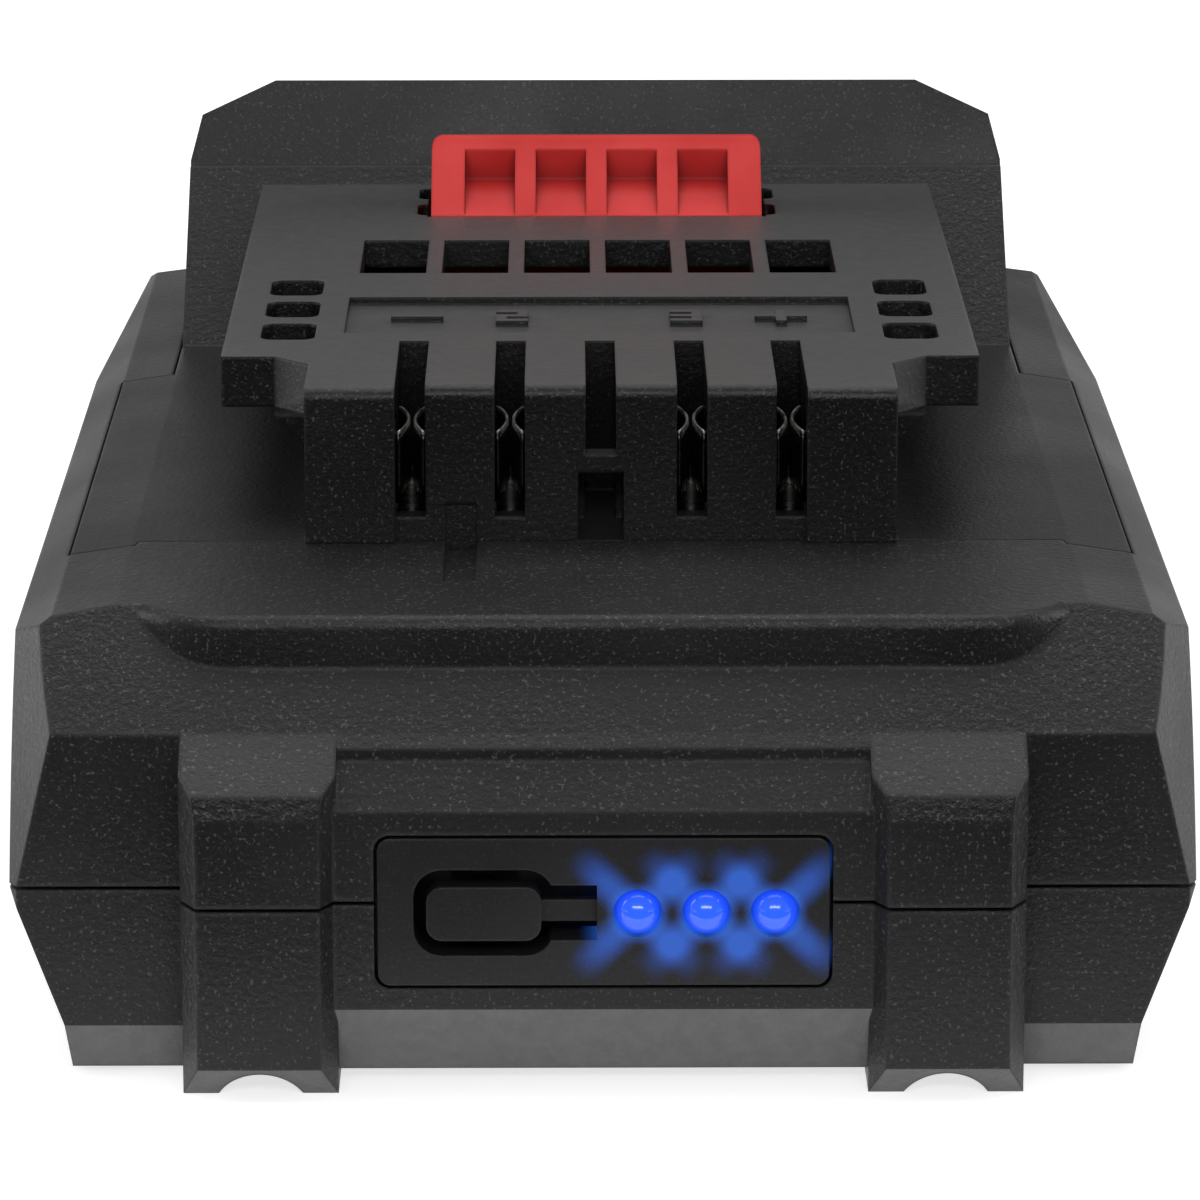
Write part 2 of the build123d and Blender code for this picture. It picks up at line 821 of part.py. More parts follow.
def rounded_ear(x, back):
    """A round-ended opening beside the latch."""
    ear = block(x - ear_size, x + ear_size, back, back + ear_length,
                rail_under_z, rail_top_z + overrun)
    return fillet(ear.edges().filter_by(Axis.Z), ear_size - hair)


def numeral(x, right_backs, left_backs):
    """A raised numeral built from straight bars."""
    half = mark_size / 2
    thin = mark_stroke / 2
    reach = half * mark_width_share
    z0 = rail_top_z - label_depth - hair
    z1 = z0 + hair + mark_depth
    shape = None
    for back in (mark_back - half + thin, mark_back, mark_back + half - thin):
        bar = block(x - reach, x + reach, back - thin, back + thin, z0, z1)
        shape = bar if shape is None else shape + bar
    for edge, backs in ((reach - thin, right_backs), (thin - reach, left_backs)):
        for back0, back1 in backs:
            shape += block(x + edge - thin, x + edge + thin, back0, back1, z0, z1)
    return shape


def marks():
    """Raised polarity signs and plain numerals in the label recess."""
    half = mark_size / 2
    thin = mark_stroke / 2
    z0 = rail_top_z - label_depth - hair
    z1 = z0 + hair + mark_depth
    minus_x, two_x, three_x, plus_x = sorted(slot_centres)
    signs = block(plus_x - thin, plus_x + thin, mark_back - half, mark_back + half, z0, z1)
    for x in (minus_x, plus_x):
        signs += block(x - half, x + half, mark_back - thin, mark_back + thin, z0, z1)
    upper = (mark_back, mark_back + half)
    lower = (mark_back - half, mark_back)
    return signs + numeral(two_x, [upper], [lower]) + numeral(three_x, [upper, lower], [])


def make_top_cover(outer):
    deck = outer & upright(cover_plan(0), cover_floor_z, plateau_z)
    shape = deck + terminal_block() + rail_plate() + hump_solid(0)
    inner = block_half_width - block_wall
    room = block(-inner, inner, block_solid_back, tunnel_front_back + overrun,
                 cover_floor_z - overrun, rail_top_z - rail_skin)
    room += block(-inner, inner, cover_front_back + block_wall, block_solid_back + overrun,
                  cover_floor_z - overrun, carrier_top_z + carrier_gap)
    for x in slot_centres:
        room += block(x - contact_pocket_half_width, x + contact_pocket_half_width,
                      cover_front_back + block_wall, slot_rear_back - block_wall,
                      cover_floor_z, contact_pocket_top_z)
    tunnel = block(-tunnel_half_width, tunnel_half_width, tunnel_front_back,
                   thumb_well_front_back, cover_floor_z - overrun, rail_top_z - rail_skin)
    shape -= room + tunnel
    shape -= hump_solid(hump_wall) & block(
        -pack_length, pack_length, hump_crease_back, hump_rear_back - hump_wall,
        cover_floor_z - overrun, hump_top_z)
    shape -= block(-hump_half_width + hump_wall, hump_half_width - hump_wall,
                   hump_crease_back, hump_rear_back - hump_wall,
                   cover_floor_z - overrun, plateau_z)
    half = thumb_well_half_width
    shape -= block(-half, half, thumb_well_front_back, pack_length + overrun,
                   thumb_well_floor_z, hump_top_z + overrun)
    shape -= plate_openings()
    return shape + marks()


def latch_pockets():
    """Four cored pockets in the latch's ramp."""
    cuts = None
    for i in range(pocket_count):
        x = (i - (pocket_count - 1) / 2) * pocket_pitch
        side = [
            (latch_nose_back - overrun, rail_top_z),
            (latch_nose_back, rail_top_z),
            (latch_nose_back + pocket_run, rail_top_z + pocket_floor_rise),
            (latch_nose_back + pocket_run, latch_nose_top_z - pocket_lip),
            (latch_nose_back - overrun, latch_nose_top_z - pocket_lip),
        ]
        cut = across(side, x - pocket_width / 2, x + pocket_width / 2)
        cuts = cut if cuts is None else cuts + cut
    return cuts


def make_latch():
    side = [
        (latch_nose_back, latch_stem_bottom_z),
        (latch_nose_back, rail_top_z),
        (latch_nose_back + latch_ramp_run, latch_nose_top_z - pocket_lip),
        (latch_nose_back + latch_ramp_run + pocket_lip, latch_nose_top_z),
        (latch_rear_back, latch_nose_top_z),
        (latch_rear_back, latch_stem_bottom_z),
    ]
    shape = across(side, -latch_half_width, latch_half_width)
    shape &= rounded_block(-latch_half_width, latch_half_width, latch_nose_back - overrun,
                           latch_rear_back + overrun, latch_stem_bottom_z - overrun,
                           latch_nose_top_z, latch_crown)
    shape -= latch_pockets()
    shape += block(-latch_arm_half_width, latch_arm_half_width, latch_rear_back - overrun,
                   latch_pad_front_back + overrun, latch_stem_bottom_z, latch_arm_top_z)
    pad_rear = latch_pad_front_back + latch_pad_length
    pad_half = thumb_well_half_width - latch_clearance
    pad_side = [
        (latch_pad_front_back, latch_stem_bottom_z),
        (latch_pad_front_back, latch_pad_top_z),
        (pad_rear, latch_pad_top_z - latch_pad_slope_drop),
        (pad_rear, latch_stem_bottom_z),
    ]
    pad = across(pad_side, -pad_half, pad_half)
    pad = fillet(pad.edges().filter_by(Axis.Z), gauge_corner)
    shape += pad
    slope = latch_pad_slope_drop / latch_pad_length
    for i in range(grip_count):
        back = latch_pad_front_back + grip_pitch * (i + 1)
        z = latch_pad_top_z - slope * (back - latch_pad_front_back)
        shape += block(-pad_half + latch_corner, pad_half - latch_corner, back - grip_width / 2,
                       back + grip_width / 2, z - overrun, z + grip_height)
    for x in (-spring_x, spring_x):
        shape -= post(x, spring_back, latch_stem_bottom_z - overrun,
                      latch_stem_bottom_z + spring_pocket_depth, spring_radius + spring_room)
    return shape


def make_spring(x):
    """Coil spring under the latch arm, drawn as the sleeve that its coils fill."""
    bottom = bracket_z + bracket_thickness
    top = latch_stem_bottom_z + spring_pocket_depth
    sleeve = post(x, spring_back, bottom, top, spring_radius)
    return sleeve - post(x, spring_back, bottom - overrun, top + overrun,
                         spring_radius - spring_wire)


def make_bracket():
    """Bridge over the last cell that the two latch springs stand on."""
    top = bracket_z + bracket_thickness
    shape = block(-bracket_half_width, bracket_half_width, bracket_front_back,
                  bracket_front_back + bracket_length, bracket_z, top)
    shape = fillet(shape.edges().filter_by(Axis.Z), latch_corner)
    for side in (-1, 1):
        shape += post(side * spring_x, spring_back, top - hair, top + spring_peg_height,
                      spring_peg_radius)
        shape -= post(side * bracket_screw_x, bracket_screw_back, bracket_z - overrun, top + overrun,
                      board_screw_radius + screw_clearance)
    return shape


def make_cell(back, flip):
    """One round cell lying across the pack, with its positive cap at one end."""
    can = Rot(0, 90, 0) * Cylinder(cell_radius, cell_length - cell_cap_height)
    can = fillet(can.edges(), cell_edge)
    groove = Rot(0, 90, 0) * Cylinder(cell_radius + overrun, cell_groove_width)
    groove -= Rot(0, 90, 0) * Cylinder(cell_radius - cell_groove_depth, cell_groove_width * 2)
    can -= Pos(cell_face_x - cell_groove_inset, 0, 0) * groove
    can = Pos(-cell_cap_height / 2, 0, 0) * can
    cap = Rot(0, 90, 0) * Cylinder(cell_cap_radius, cell_cap_height * 2)
    can += Pos(cell_face_x - cell_cap_height, 0, 0) * cap
    if flip:
        can = Rot(0, 0, 180) * can
    return Pos(0, at(back), cell_centre_z) * can


def make_frame(side):
    """One half of the frame that holds the five cells by their ends."""
    front = cell_backs[0] - cell_radius - frame_end_margin
    rear = cell_backs[-1] + cell_radius + frame_end_margin
    xs = sorted((side * frame_inner_x, side * frame_outer_x))
    shape = block(xs[0], xs[1], front, rear, frame_bottom_z, frame_top_z)
    low = shape.faces().sort_by(Axis.Z)[0].edges().filter_by(Axis.Y).sort_by(Axis.X)
    shape = chamfer(low[-1] if side > 0 else low[0], frame_chamfer)
    bore_radius = cell_radius + cell_clearance
    for back in cell_backs:
        reach = cell_face_x + hair
        bore = Rot(0, 90, 0) * Cylinder(bore_radius, reach * 2)
        window = Rot(0, 90, 0) * Cylinder(frame_lip_radius, frame_outer_x * 2 + overrun)
        shape -= Pos(0, at(back), cell_centre_z) * (bore + window)
    rooms = cell_rooms()
    for back in board_post_backs:
        shape += post(side * board_post_x, back, cell_centre_z, board_z, board_post_radius) - rooms
    x = side * bracket_screw_x
    pad = block(x - board_post_radius, x + board_post_radius, bracket_front_back,
                bracket_front_back + bracket_length, cell_centre_z, bracket_z)
    shape += pad - rooms
    for x, back, z in frame_screw_places:
        if x * side > 0:
            shape -= post(x, back, z - board_screw_depth - hair, z + overrun,
                          board_screw_radius + screw_clearance)
    for first, count, strap_side, tab_back in strap_plan:
        if strap_side == side:
            shape -= strap_form(side, first, count, tab_back, cell_clearance)
    return shape


def cell_rooms():
    """The room of all cells, to keep posts clear of them."""
    rooms = None
    for back in cell_backs:
        bore = Rot(0, 90, 0) * Cylinder(cell_radius + cell_clearance, cell_length + hair)
        room = Pos(0, at(back), cell_centre_z) * bore
        rooms = room if rooms is None else rooms + room
    return rooms


def strap_form(side, first, count, tab_back, room):
    """A welded strap that joins cell ends, with its tab up to the board."""
    backs = cell_backs[first:first + count]
    inner = side * (cell_face_x - room)
    outer_x = side * (cell_face_x + strap_thickness + room)
    xs = sorted((inner, outer_x))
    low = cell_centre_z - strap_width / 2 - room
    high = cell_centre_z + strap_width / 2 + room
    start = min(backs[0] - strap_overhang, tab_back - strap_tab_width / 2) - room
    end = max(backs[-1] + strap_overhang, tab_back + strap_tab_width / 2) + room
    shape = block(xs[0], xs[1], start, end, low, high)
    half = strap_tab_width / 2 + room
    shape += block(xs[0], xs[1], tab_back - half, tab_back + half, low, board_z)
    landing = side * (board_half_width - strap_tab_width)
    xs = sorted((landing, outer_x))
    shape += block(xs[0], xs[1], tab_back - half, tab_back + half,
                   board_z - strap_thickness - room, board_z)
    return shape


def make_insulators():
    """Paper rings round the positive caps of all cells."""
    rings = []
    for i, back in enumerate(cell_backs):
        side = -1 if i % 2 else 1
        disc = Cylinder(cell_radius - cell_edge, ring_thickness)
        disc -= Cylinder(cell_cap_radius + cell_clearance, ring_thickness * 2)
        x = side * (cell_face_x - cell_cap_height + ring_thickness / 2)
        rings.append(Pos(x, at(back), cell_centre_z) * (Rot(0, 90, 0) * disc))
    return Compound(rings)


def make_foam():
    """Thin foam sheet between the floor and the cells."""
    bottom = body_bottom_z + floor_wall + hair
    return block(-foam_half_width, foam_half_width, cell_backs[0] - cell_radius,
                 cell_backs[-1] + cell_radius, bottom, bottom + foam_thickness)


def make_board():
    """Control board over the cells."""
    shape = block(-board_half_width, board_half_width, board_front_back, board_rear_back,
                  board_z, board_top_z)
    shape = fillet(shape.edges().filter_by(Axis.Z), latch_corner)
    for x, back, _ in frame_screw_places[:4]:
        shape -= post(x, back, board_z - overrun, board_top_z + overrun,
                      board_screw_radius + screw_clearance)
    return shape


def make_board_parts():
    """Chips, power switches and resistors on the control board."""
    length = board_rear_back - board_front_back
    parts = []
    for x_share, back_share, half_x_share, half_y_share, height_share in chip_shares:
        x = board_half_width * x_share
        back = board_front_back + length * back_share
        half_x = board_half_width * half_x_share
        half_y = length * half_y_share
        parts.append(block(x - half_x, x + half_x, back - half_y, back + half_y,
                           board_top_z, board_top_z + chip_height * height_share))
    half = ribbon_half_width + plug_margin
    parts.append(block(-half, half, ribbon_end_back - plug_length, ribbon_end_back,
                       ribbon_top_z, board_z))
    return Compound(parts)


def frame_screws():
    """Small screws that hold the board and the spring bracket to the frame."""
    screws = []
    for x, back, z in frame_screw_places:
        seat = board_top_z if z == board_z else z + bracket_thickness
        screw = post(x, back, z - board_screw_depth, seat + hair, board_screw_radius)
        head = post(x, back, seat, seat + board_screw_head_height, board_screw_head_radius)
        head -= Pos(x, at(back), seat + board_screw_head_height) * Box(
            board_screw_radius * 2, board_screw_radius / 2, board_screw_head_height)
        screws.append(screw + head)
    return Compound(screws)


def housing_screws():
    """Four long screws driven up from the feet, each with a hexagon socket."""
    screws = []
    for x, back in screw_places:
        head = post(x, back, screw_seat_z - screw_head_height, screw_seat_z, screw_head_radius)
        shank = post(x, back, screw_seat_z - hair, screw_tip_z, screw_radius)
        socket = extrude(RegularPolygon(drive_radius, 6), amount=drive_depth)
        bottom = screw_seat_z - screw_head_height
        screws.append(head + shank - Pos(x, at(back), bottom) * socket)
    return Compound(screws)


def make_contact(x):
    """One spring fork: two bowed leaves on a base that is soldered to the board."""
    base_top = contact_top_z - leaf_height
    half = contact_base_half_width
    front = contact_front_back
    middle = front + contact_length * leaf_pinch_share
    rear = front + contact_length
    base = block(x - half, x + half, front + leaf_thickness * 2, rear - leaf_thickness * 2,
                 board_top_z, base_top)
    shape = base
    for side in (-1, 1):
        near = [(leaf_flare_half_gap, front), (leaf_pinch_half_gap, middle),
                (leaf_flare_half_gap, rear)]
        plan = [(x + side * gap, back) for gap, back in near]
        plan += [(x + side * (gap + leaf_thickness), back) for gap, back in reversed(near)]
        shape += upright(plan, base_top - leaf_thickness, contact_top_z)
    return shape


def make_carrier():
    """Plastic carrier that spaces the contacts on the board."""
    front = cover_front_back + flange_width + carrier_gap
    shape = block(-carrier_half_width, carrier_half_width, front, front + carrier_length,
                  board_top_z, carrier_top_z)
    half = contact_base_half_width + hair
    for x in slot_centres:
        shape -= block(x - half, x + half, contact_front_back + leaf_thickness * 2 - hair,
                       contact_front_back + contact_length - leaf_thickness * 2 + hair,
                       board_top_z - overrun, carrier_top_z + overrun)
    return shape


def make_sensor():
    """Temperature sensor pad between the middle cell and the board."""
    back = cell_backs[cell_count // 2]
    x = board_half_width / 2
    low = cell_top_z + hair
    return block(x - sensor_half, x + sensor_half, back - sensor_half, back + sensor_half,
                 low, board_z)


def keyhole(back0, back1):
    """The keyhole slot round the gauge button and its bridge."""
    half_x = button_half_width + button_gap
    half_z = button_half_height + button_gap_z
    slot = rounded_block(button_centre_x - half_x, button_centre_x + half_x, back0, back1,
                         button_centre_z - half_z, button_centre_z + half_z,
                         button_corner + button_gap)
    return slot + block(button_centre_x, hinge_x, back0, back1,
                        button_centre_z - neck_half_height, button_centre_z + neck_half_height)


def make_gauge_panel():
    """The gauge's front panel with its flange, board posts and lens holes."""
    flange_back = gauge_pocket_back + hair
    shape = rounded_block(-gauge_half_width, gauge_half_width, bay_face_back, flange_back + hair,
                          gauge_bottom_z, gauge_top_z, gauge_corner)
    x = gauge_half_width + gauge_flange
    shape += block(-x, x, flange_back, flange_rear_back,
                   gauge_bottom_z - gauge_flange, gauge_top_z + gauge_flange)
    shape -= keyhole(0, flange_rear_back + overrun)
    shape -= hinge_bead(hair)
    for i in range(led_count):
        shape -= dowel(led_x + led_pitch * i, led_z, 0, flange_rear_back + overrun,
                       lens_radius + lens_clearance)
    for x, z in gauge_post_places:
        shape += dowel(x, z, flange_rear_back - hair, gauge_board_back, gauge_post_radius)
        shape += dowel(x, z, gauge_board_back - hair, gauge_board_rear_back + gauge_pin_end,
                       gauge_pin_radius)
    return shape


def hinge_bead(room):
    """The round end of the button's strip, which the button turns about."""
    half = bridge_half_height + room
    return post(hinge_x, button_front_back + button_thickness - bridge_thickness / 2,
                button_centre_z - half, button_centre_z + half, bridge_thickness / 2 + room)


def make_gauge_button():
    """The check button on its thin hinge strip, with a post behind it."""
    front = button_front_back
    rear = front + button_thickness
    x0 = button_centre_x - button_half_width
    x1 = button_centre_x + button_half_width
    shape = rounded_block(x0, x1, front, rear, button_centre_z - button_half_height,
                          button_centre_z + button_half_height, button_corner)
    shape += block(x1 - overrun, hinge_x, rear - bridge_thickness, rear,
                   button_centre_z - bridge_half_height, button_centre_z + bridge_half_height)
    shape += hinge_bead(0)
    return shape + dowel(button_centre_x, button_centre_z, rear - hair,
                         plunger_front_back - plunger_gap, post_radius)


def make_lens(i):
    """One clear light guide with a domed front."""
    x = led_x + led_pitch * i
    dome_back = bay_face_back - lens_proud + lens_radius
    shape = dowel(x, led_z, dome_back, chip_front_back - lens_gap, lens_radius)
    shape += Pos(x, at(dome_back), led_z) * Sphere(lens_radius)
    return shape + dowel(x, led_z, flange_rear_back + hair,
                         flange_rear_back + hair + lens_flange_length, lens_flange_radius)


def make_gauge_board():
    """The small upright board behind the gauge panel."""
    shape = block(-gauge_board_half_width, gauge_board_half_width, gauge_board_back,
                  gauge_board_rear_back, gauge_board_bottom_z, gauge_board_top_z)
    for x, z in gauge_post_places:
        shape -= dowel(x, z, gauge_board_back - overrun, gauge_board_rear_back + overrun,
                       gauge_pin_radius + hair)
    return shape


def make_led_chips():
    """Light sources on the gauge board, one behind each lens."""
    chips = []
    for i in range(led_count):
        x = led_x + led_pitch * i
        chips.append(block(x - led_chip_half, x + led_chip_half, chip_front_back,
                           gauge_board_back, led_z - led_chip_half, led_z + led_chip_half))
    return Compound(chips)


def make_switch_body():
    """Body of the push switch behind the gauge button."""
    shape = block(button_centre_x - switch_half, button_centre_x + switch_half,
                  switch_front_back, gauge_board_back,
                  button_centre_z - switch_half, button_centre_z + switch_half)
    depth = plunger_length - plunger_proud + plunger_travel + screw_clearance
    return shape - dowel(button_centre_x, button_centre_z, switch_front_back - overrun,
                         switch_front_back + depth, plunger_radius + screw_clearance)


def make_plunger():
    """The moving plunger of the push switch."""
    return dowel(button_centre_x, button_centre_z, plunger_front_back,
                 plunger_front_back + plunger_length, plunger_radius)


def make_ribbon():
    """Flat ribbon from the gauge board, over the first cells, to the control board."""
    w = ribbon_half_width
    rear = gauge_board_rear_back
    shape = block(-w, w, rear, rear + ribbon_thickness, ribbon_foot_z, ribbon_top_z)
    return shape + block(-w, w, rear, ribbon_end_back, ribbon_top_z - ribbon_thickness, ribbon_top_z)


os.makedirs("parts", exist_ok=True)
outer = outer_body()
cavity = body_solid(wall, floor_wall, front_wall)
save(make_lower_housing(outer, cavity), "lower_housing")
save(make_upper_housing(outer, cavity), "upper_housing")
save(make_top_cover(outer), "top_cover")
save(make_latch(), "latch_slider")
save(make_bracket(), "latch_bracket")
save(make_spring(-spring_x), "latch_spring_left")
save(make_spring(spring_x), "latch_spring_right")
for i, back in enumerate(cell_backs):
    save(make_cell(back, i % 2 == 1), f"cell_{i + 1}")
save(make_insulators(), "cell_insulators")
save(make_foam(), "foam_sheet")
save(make_frame(-1), "cell_frame_left")
save(make_frame(1), "cell_frame_right")
for i, (first, count, side, tab_back) in enumerate(strap_plan):
    save(strap_form(side, first, count, tab_back, 0), f"cell_strap_{i + 1}")
save(make_board(), "control_board")
save(make_board_parts(), "board_parts")
save(make_carrier(), "contact_carrier")
for x, name in zip(sorted(slot_centres), ("minus", "temperature", "code", "plus")):
    save(make_contact(x), f"contact_{name}")
save(make_sensor(), "temperature_sensor")
save(frame_screws(), "frame_screws")
save(housing_screws(), "housing_screws")
save(make_gauge_panel(), "gauge_panel")
save(make_gauge_button(), "gauge_button")
for i in range(led_count):
    save(make_lens(i), f"gauge_lens_{i + 1}")
save(make_gauge_board(), "gauge_board")
save(make_led_chips(), "gauge_lights")
save(make_switch_body(), "gauge_switch")
save(make_plunger(), "switch_plunger")
save(make_ribbon(), "gauge_ribbon")
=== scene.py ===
"""Finishes, fine pieces and a plain studio for a slide-in battery pack.

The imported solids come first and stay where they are. Each class below dresses
one sub-assembly: housing, guide cover, latch, contacts, charge gauge, cells
and what holds them. Sizes are in metres and angles in degrees.
"""

from __future__ import annotations

import json
import logging
import math
from dataclasses import dataclass, field
from enum import Enum
from typing import Protocol, Sequence

import bmesh
import bpy
from mathutils import Matrix, Vector

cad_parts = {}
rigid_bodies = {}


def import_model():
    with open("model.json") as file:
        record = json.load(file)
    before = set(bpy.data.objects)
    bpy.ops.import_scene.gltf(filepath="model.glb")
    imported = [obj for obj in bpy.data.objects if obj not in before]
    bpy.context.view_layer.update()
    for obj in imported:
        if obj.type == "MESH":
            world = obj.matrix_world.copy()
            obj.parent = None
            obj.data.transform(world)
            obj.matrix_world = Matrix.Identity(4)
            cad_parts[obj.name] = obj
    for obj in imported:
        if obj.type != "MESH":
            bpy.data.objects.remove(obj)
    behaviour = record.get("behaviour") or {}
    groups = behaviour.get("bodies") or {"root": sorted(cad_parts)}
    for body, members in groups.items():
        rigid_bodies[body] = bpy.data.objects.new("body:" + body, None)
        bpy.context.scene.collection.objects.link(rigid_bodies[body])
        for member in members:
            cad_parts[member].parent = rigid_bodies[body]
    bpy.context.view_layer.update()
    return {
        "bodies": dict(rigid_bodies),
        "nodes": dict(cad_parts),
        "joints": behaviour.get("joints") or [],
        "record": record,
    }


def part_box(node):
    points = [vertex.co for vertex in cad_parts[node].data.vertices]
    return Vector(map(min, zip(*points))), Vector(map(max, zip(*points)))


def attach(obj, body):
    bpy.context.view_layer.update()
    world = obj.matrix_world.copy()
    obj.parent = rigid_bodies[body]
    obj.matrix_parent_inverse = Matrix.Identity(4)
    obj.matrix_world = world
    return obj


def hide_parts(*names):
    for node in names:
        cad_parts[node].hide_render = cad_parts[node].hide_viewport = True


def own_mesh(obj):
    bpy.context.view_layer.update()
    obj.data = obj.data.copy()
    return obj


LOG = logging.getLogger("battery_pack")
MM = 0.001
Colour = tuple[float, float, float]
Point = tuple[float, float, float]
Span = tuple[float, float]

FULL: Span = (0.0, 1.0)
# Noise values lie mostly between these, so a pattern changes over them.
CLOUDY: Span = (0.35, 0.65)
WIDE: Span = (0.3, 0.7)
BLACK: Colour = (0.0, 0.0, 0.0)
WHITE: Colour = (1.0, 1.0, 1.0)

# Blender's mix node has sockets for numbers and vectors before those for colours.
MIX_FIRST = 6
MIX_SECOND = 7
MIX_RESULT = 2
# A new stop of a colour ramp stands here until its own place is set.
NEW_STOP = 0.5


class Body(Enum):
    """The bodies that new pieces ride on."""

    PACK = "pack_body"


class Grain(Enum):
    """Kinds of moulded surface, as the pits' distance and depth."""

    COARSE = (0.40 * MM, 0.085 * MM)
    MEDIUM = (0.36 * MM, 0.060 * MM)
    FINE = (0.28 * MM, 0.022 * MM)
    POLISHED = (0.60 * MM, 0.004 * MM)

    @property
    def size(self) -> float:
        """Distance between two pits of the spark-eroded surface."""
        return self.value[0]

    @property
    def depth(self) -> float:
        """Depth of the pits."""
        return self.value[1]


class Finish(Protocol):
    """Anything that can make a material."""

    def build(self) -> bpy.types.Material:
        """Make the material."""


def scaled(colour: Colour, share: float) -> Colour:
    """A colour with every channel multiplied by a share."""
    return tuple(c * share for c in colour)


def lifted(colour: Colour, lift: float) -> Colour:
    """A colour with every channel raised, up to white."""
    return tuple(min(1.0, c + lift) for c in colour)


def opaque(colour: Colour) -> tuple[float, float, float, float]:
    """A colour as Blender's sockets want it, with full cover."""
    return (*colour, 1.0)


class Graph:
    """A node tree that is filled from the output backwards."""

    def __init__(self, tree: bpy.types.NodeTree, output: str) -> None:
        """Empty a tree and give it an output node.

        Args:
            tree: Blender's node tree.
            output: Blender's type of the output node.
        """
        self.tree = tree
        self.tree.nodes.clear()
        self.output = self.add(output)

    def add(self, kind: str, **settings: object) -> bpy.types.Node:
        """Add a node.

        Args:
            kind: Blender's node type.
            **settings: Properties to set on the node.

        Returns:
            The new node.
        """
        node = self.tree.nodes.new(kind)
        for key, value in settings.items():
            setattr(node, key, value)
        return node

    def join(self, source: bpy.types.NodeSocket, target: bpy.types.NodeSocket) -> None:
        """Link an output socket to an input socket."""
        self.tree.links.new(source, target)

    def maths(self, operation: str,
              *values: bpy.types.NodeSocket | float) -> bpy.types.NodeSocket:
        """Add an arithmetic node.

        Args:
            operation: Blender's name of the operation.
            *values: Sockets or numbers.

        Returns:
            The result's socket.
        """
        node = self.add("ShaderNodeMath", operation=operation)
        for i, value in enumerate(values):
            if isinstance(value, (int, float)):
                node.inputs[i].default_value = value
            else:
                self.join(value, node.inputs[i])
        return node.outputs["Value"]

    def ramp(self, value: bpy.types.NodeSocket,
             stops: Sequence[tuple[float, Colour]]) -> bpy.types.NodeSocket:
        """Turn a value into a colour.

        Args:
            value: The driving value.
            stops: Places from 0 to 1 and their colours.

        Returns:
            The colour socket.
        """
        node = self.add("ShaderNodeValToRGB")
        band = node.color_ramp
        while len(band.elements) < len(stops):
            band.elements.new(NEW_STOP)
        for element, (place, colour) in zip(band.elements, stops):
            element.position = place
            element.color = opaque(colour)
        self.join(value, node.inputs["Fac"])
        return node.outputs["Color"]

    def split(self, vector: bpy.types.NodeSocket) -> bpy.types.Node:
        """Take a vector apart.

        Args:
            vector: The vector's socket.

        Returns:
            A node with the outputs X, Y and Z.
        """
        node = self.add("ShaderNodeSeparateXYZ")
        self.join(vector, node.inputs["Vector"])
        return node

    def seen_directly(self) -> bpy.types.NodeSocket:
        """Tell the camera's rays and clear reflections from the light on the pack.

        Returns:
            A socket that is one for camera, glossy and transmission rays.
        """
        path = self.add("ShaderNodeLightPath")
        seen = self.maths("MAXIMUM", path.outputs["Is Camera Ray"], path.outputs["Is Glossy Ray"])
        return self.maths("MAXIMUM", seen, path.outputs["Is Transmission Ray"])


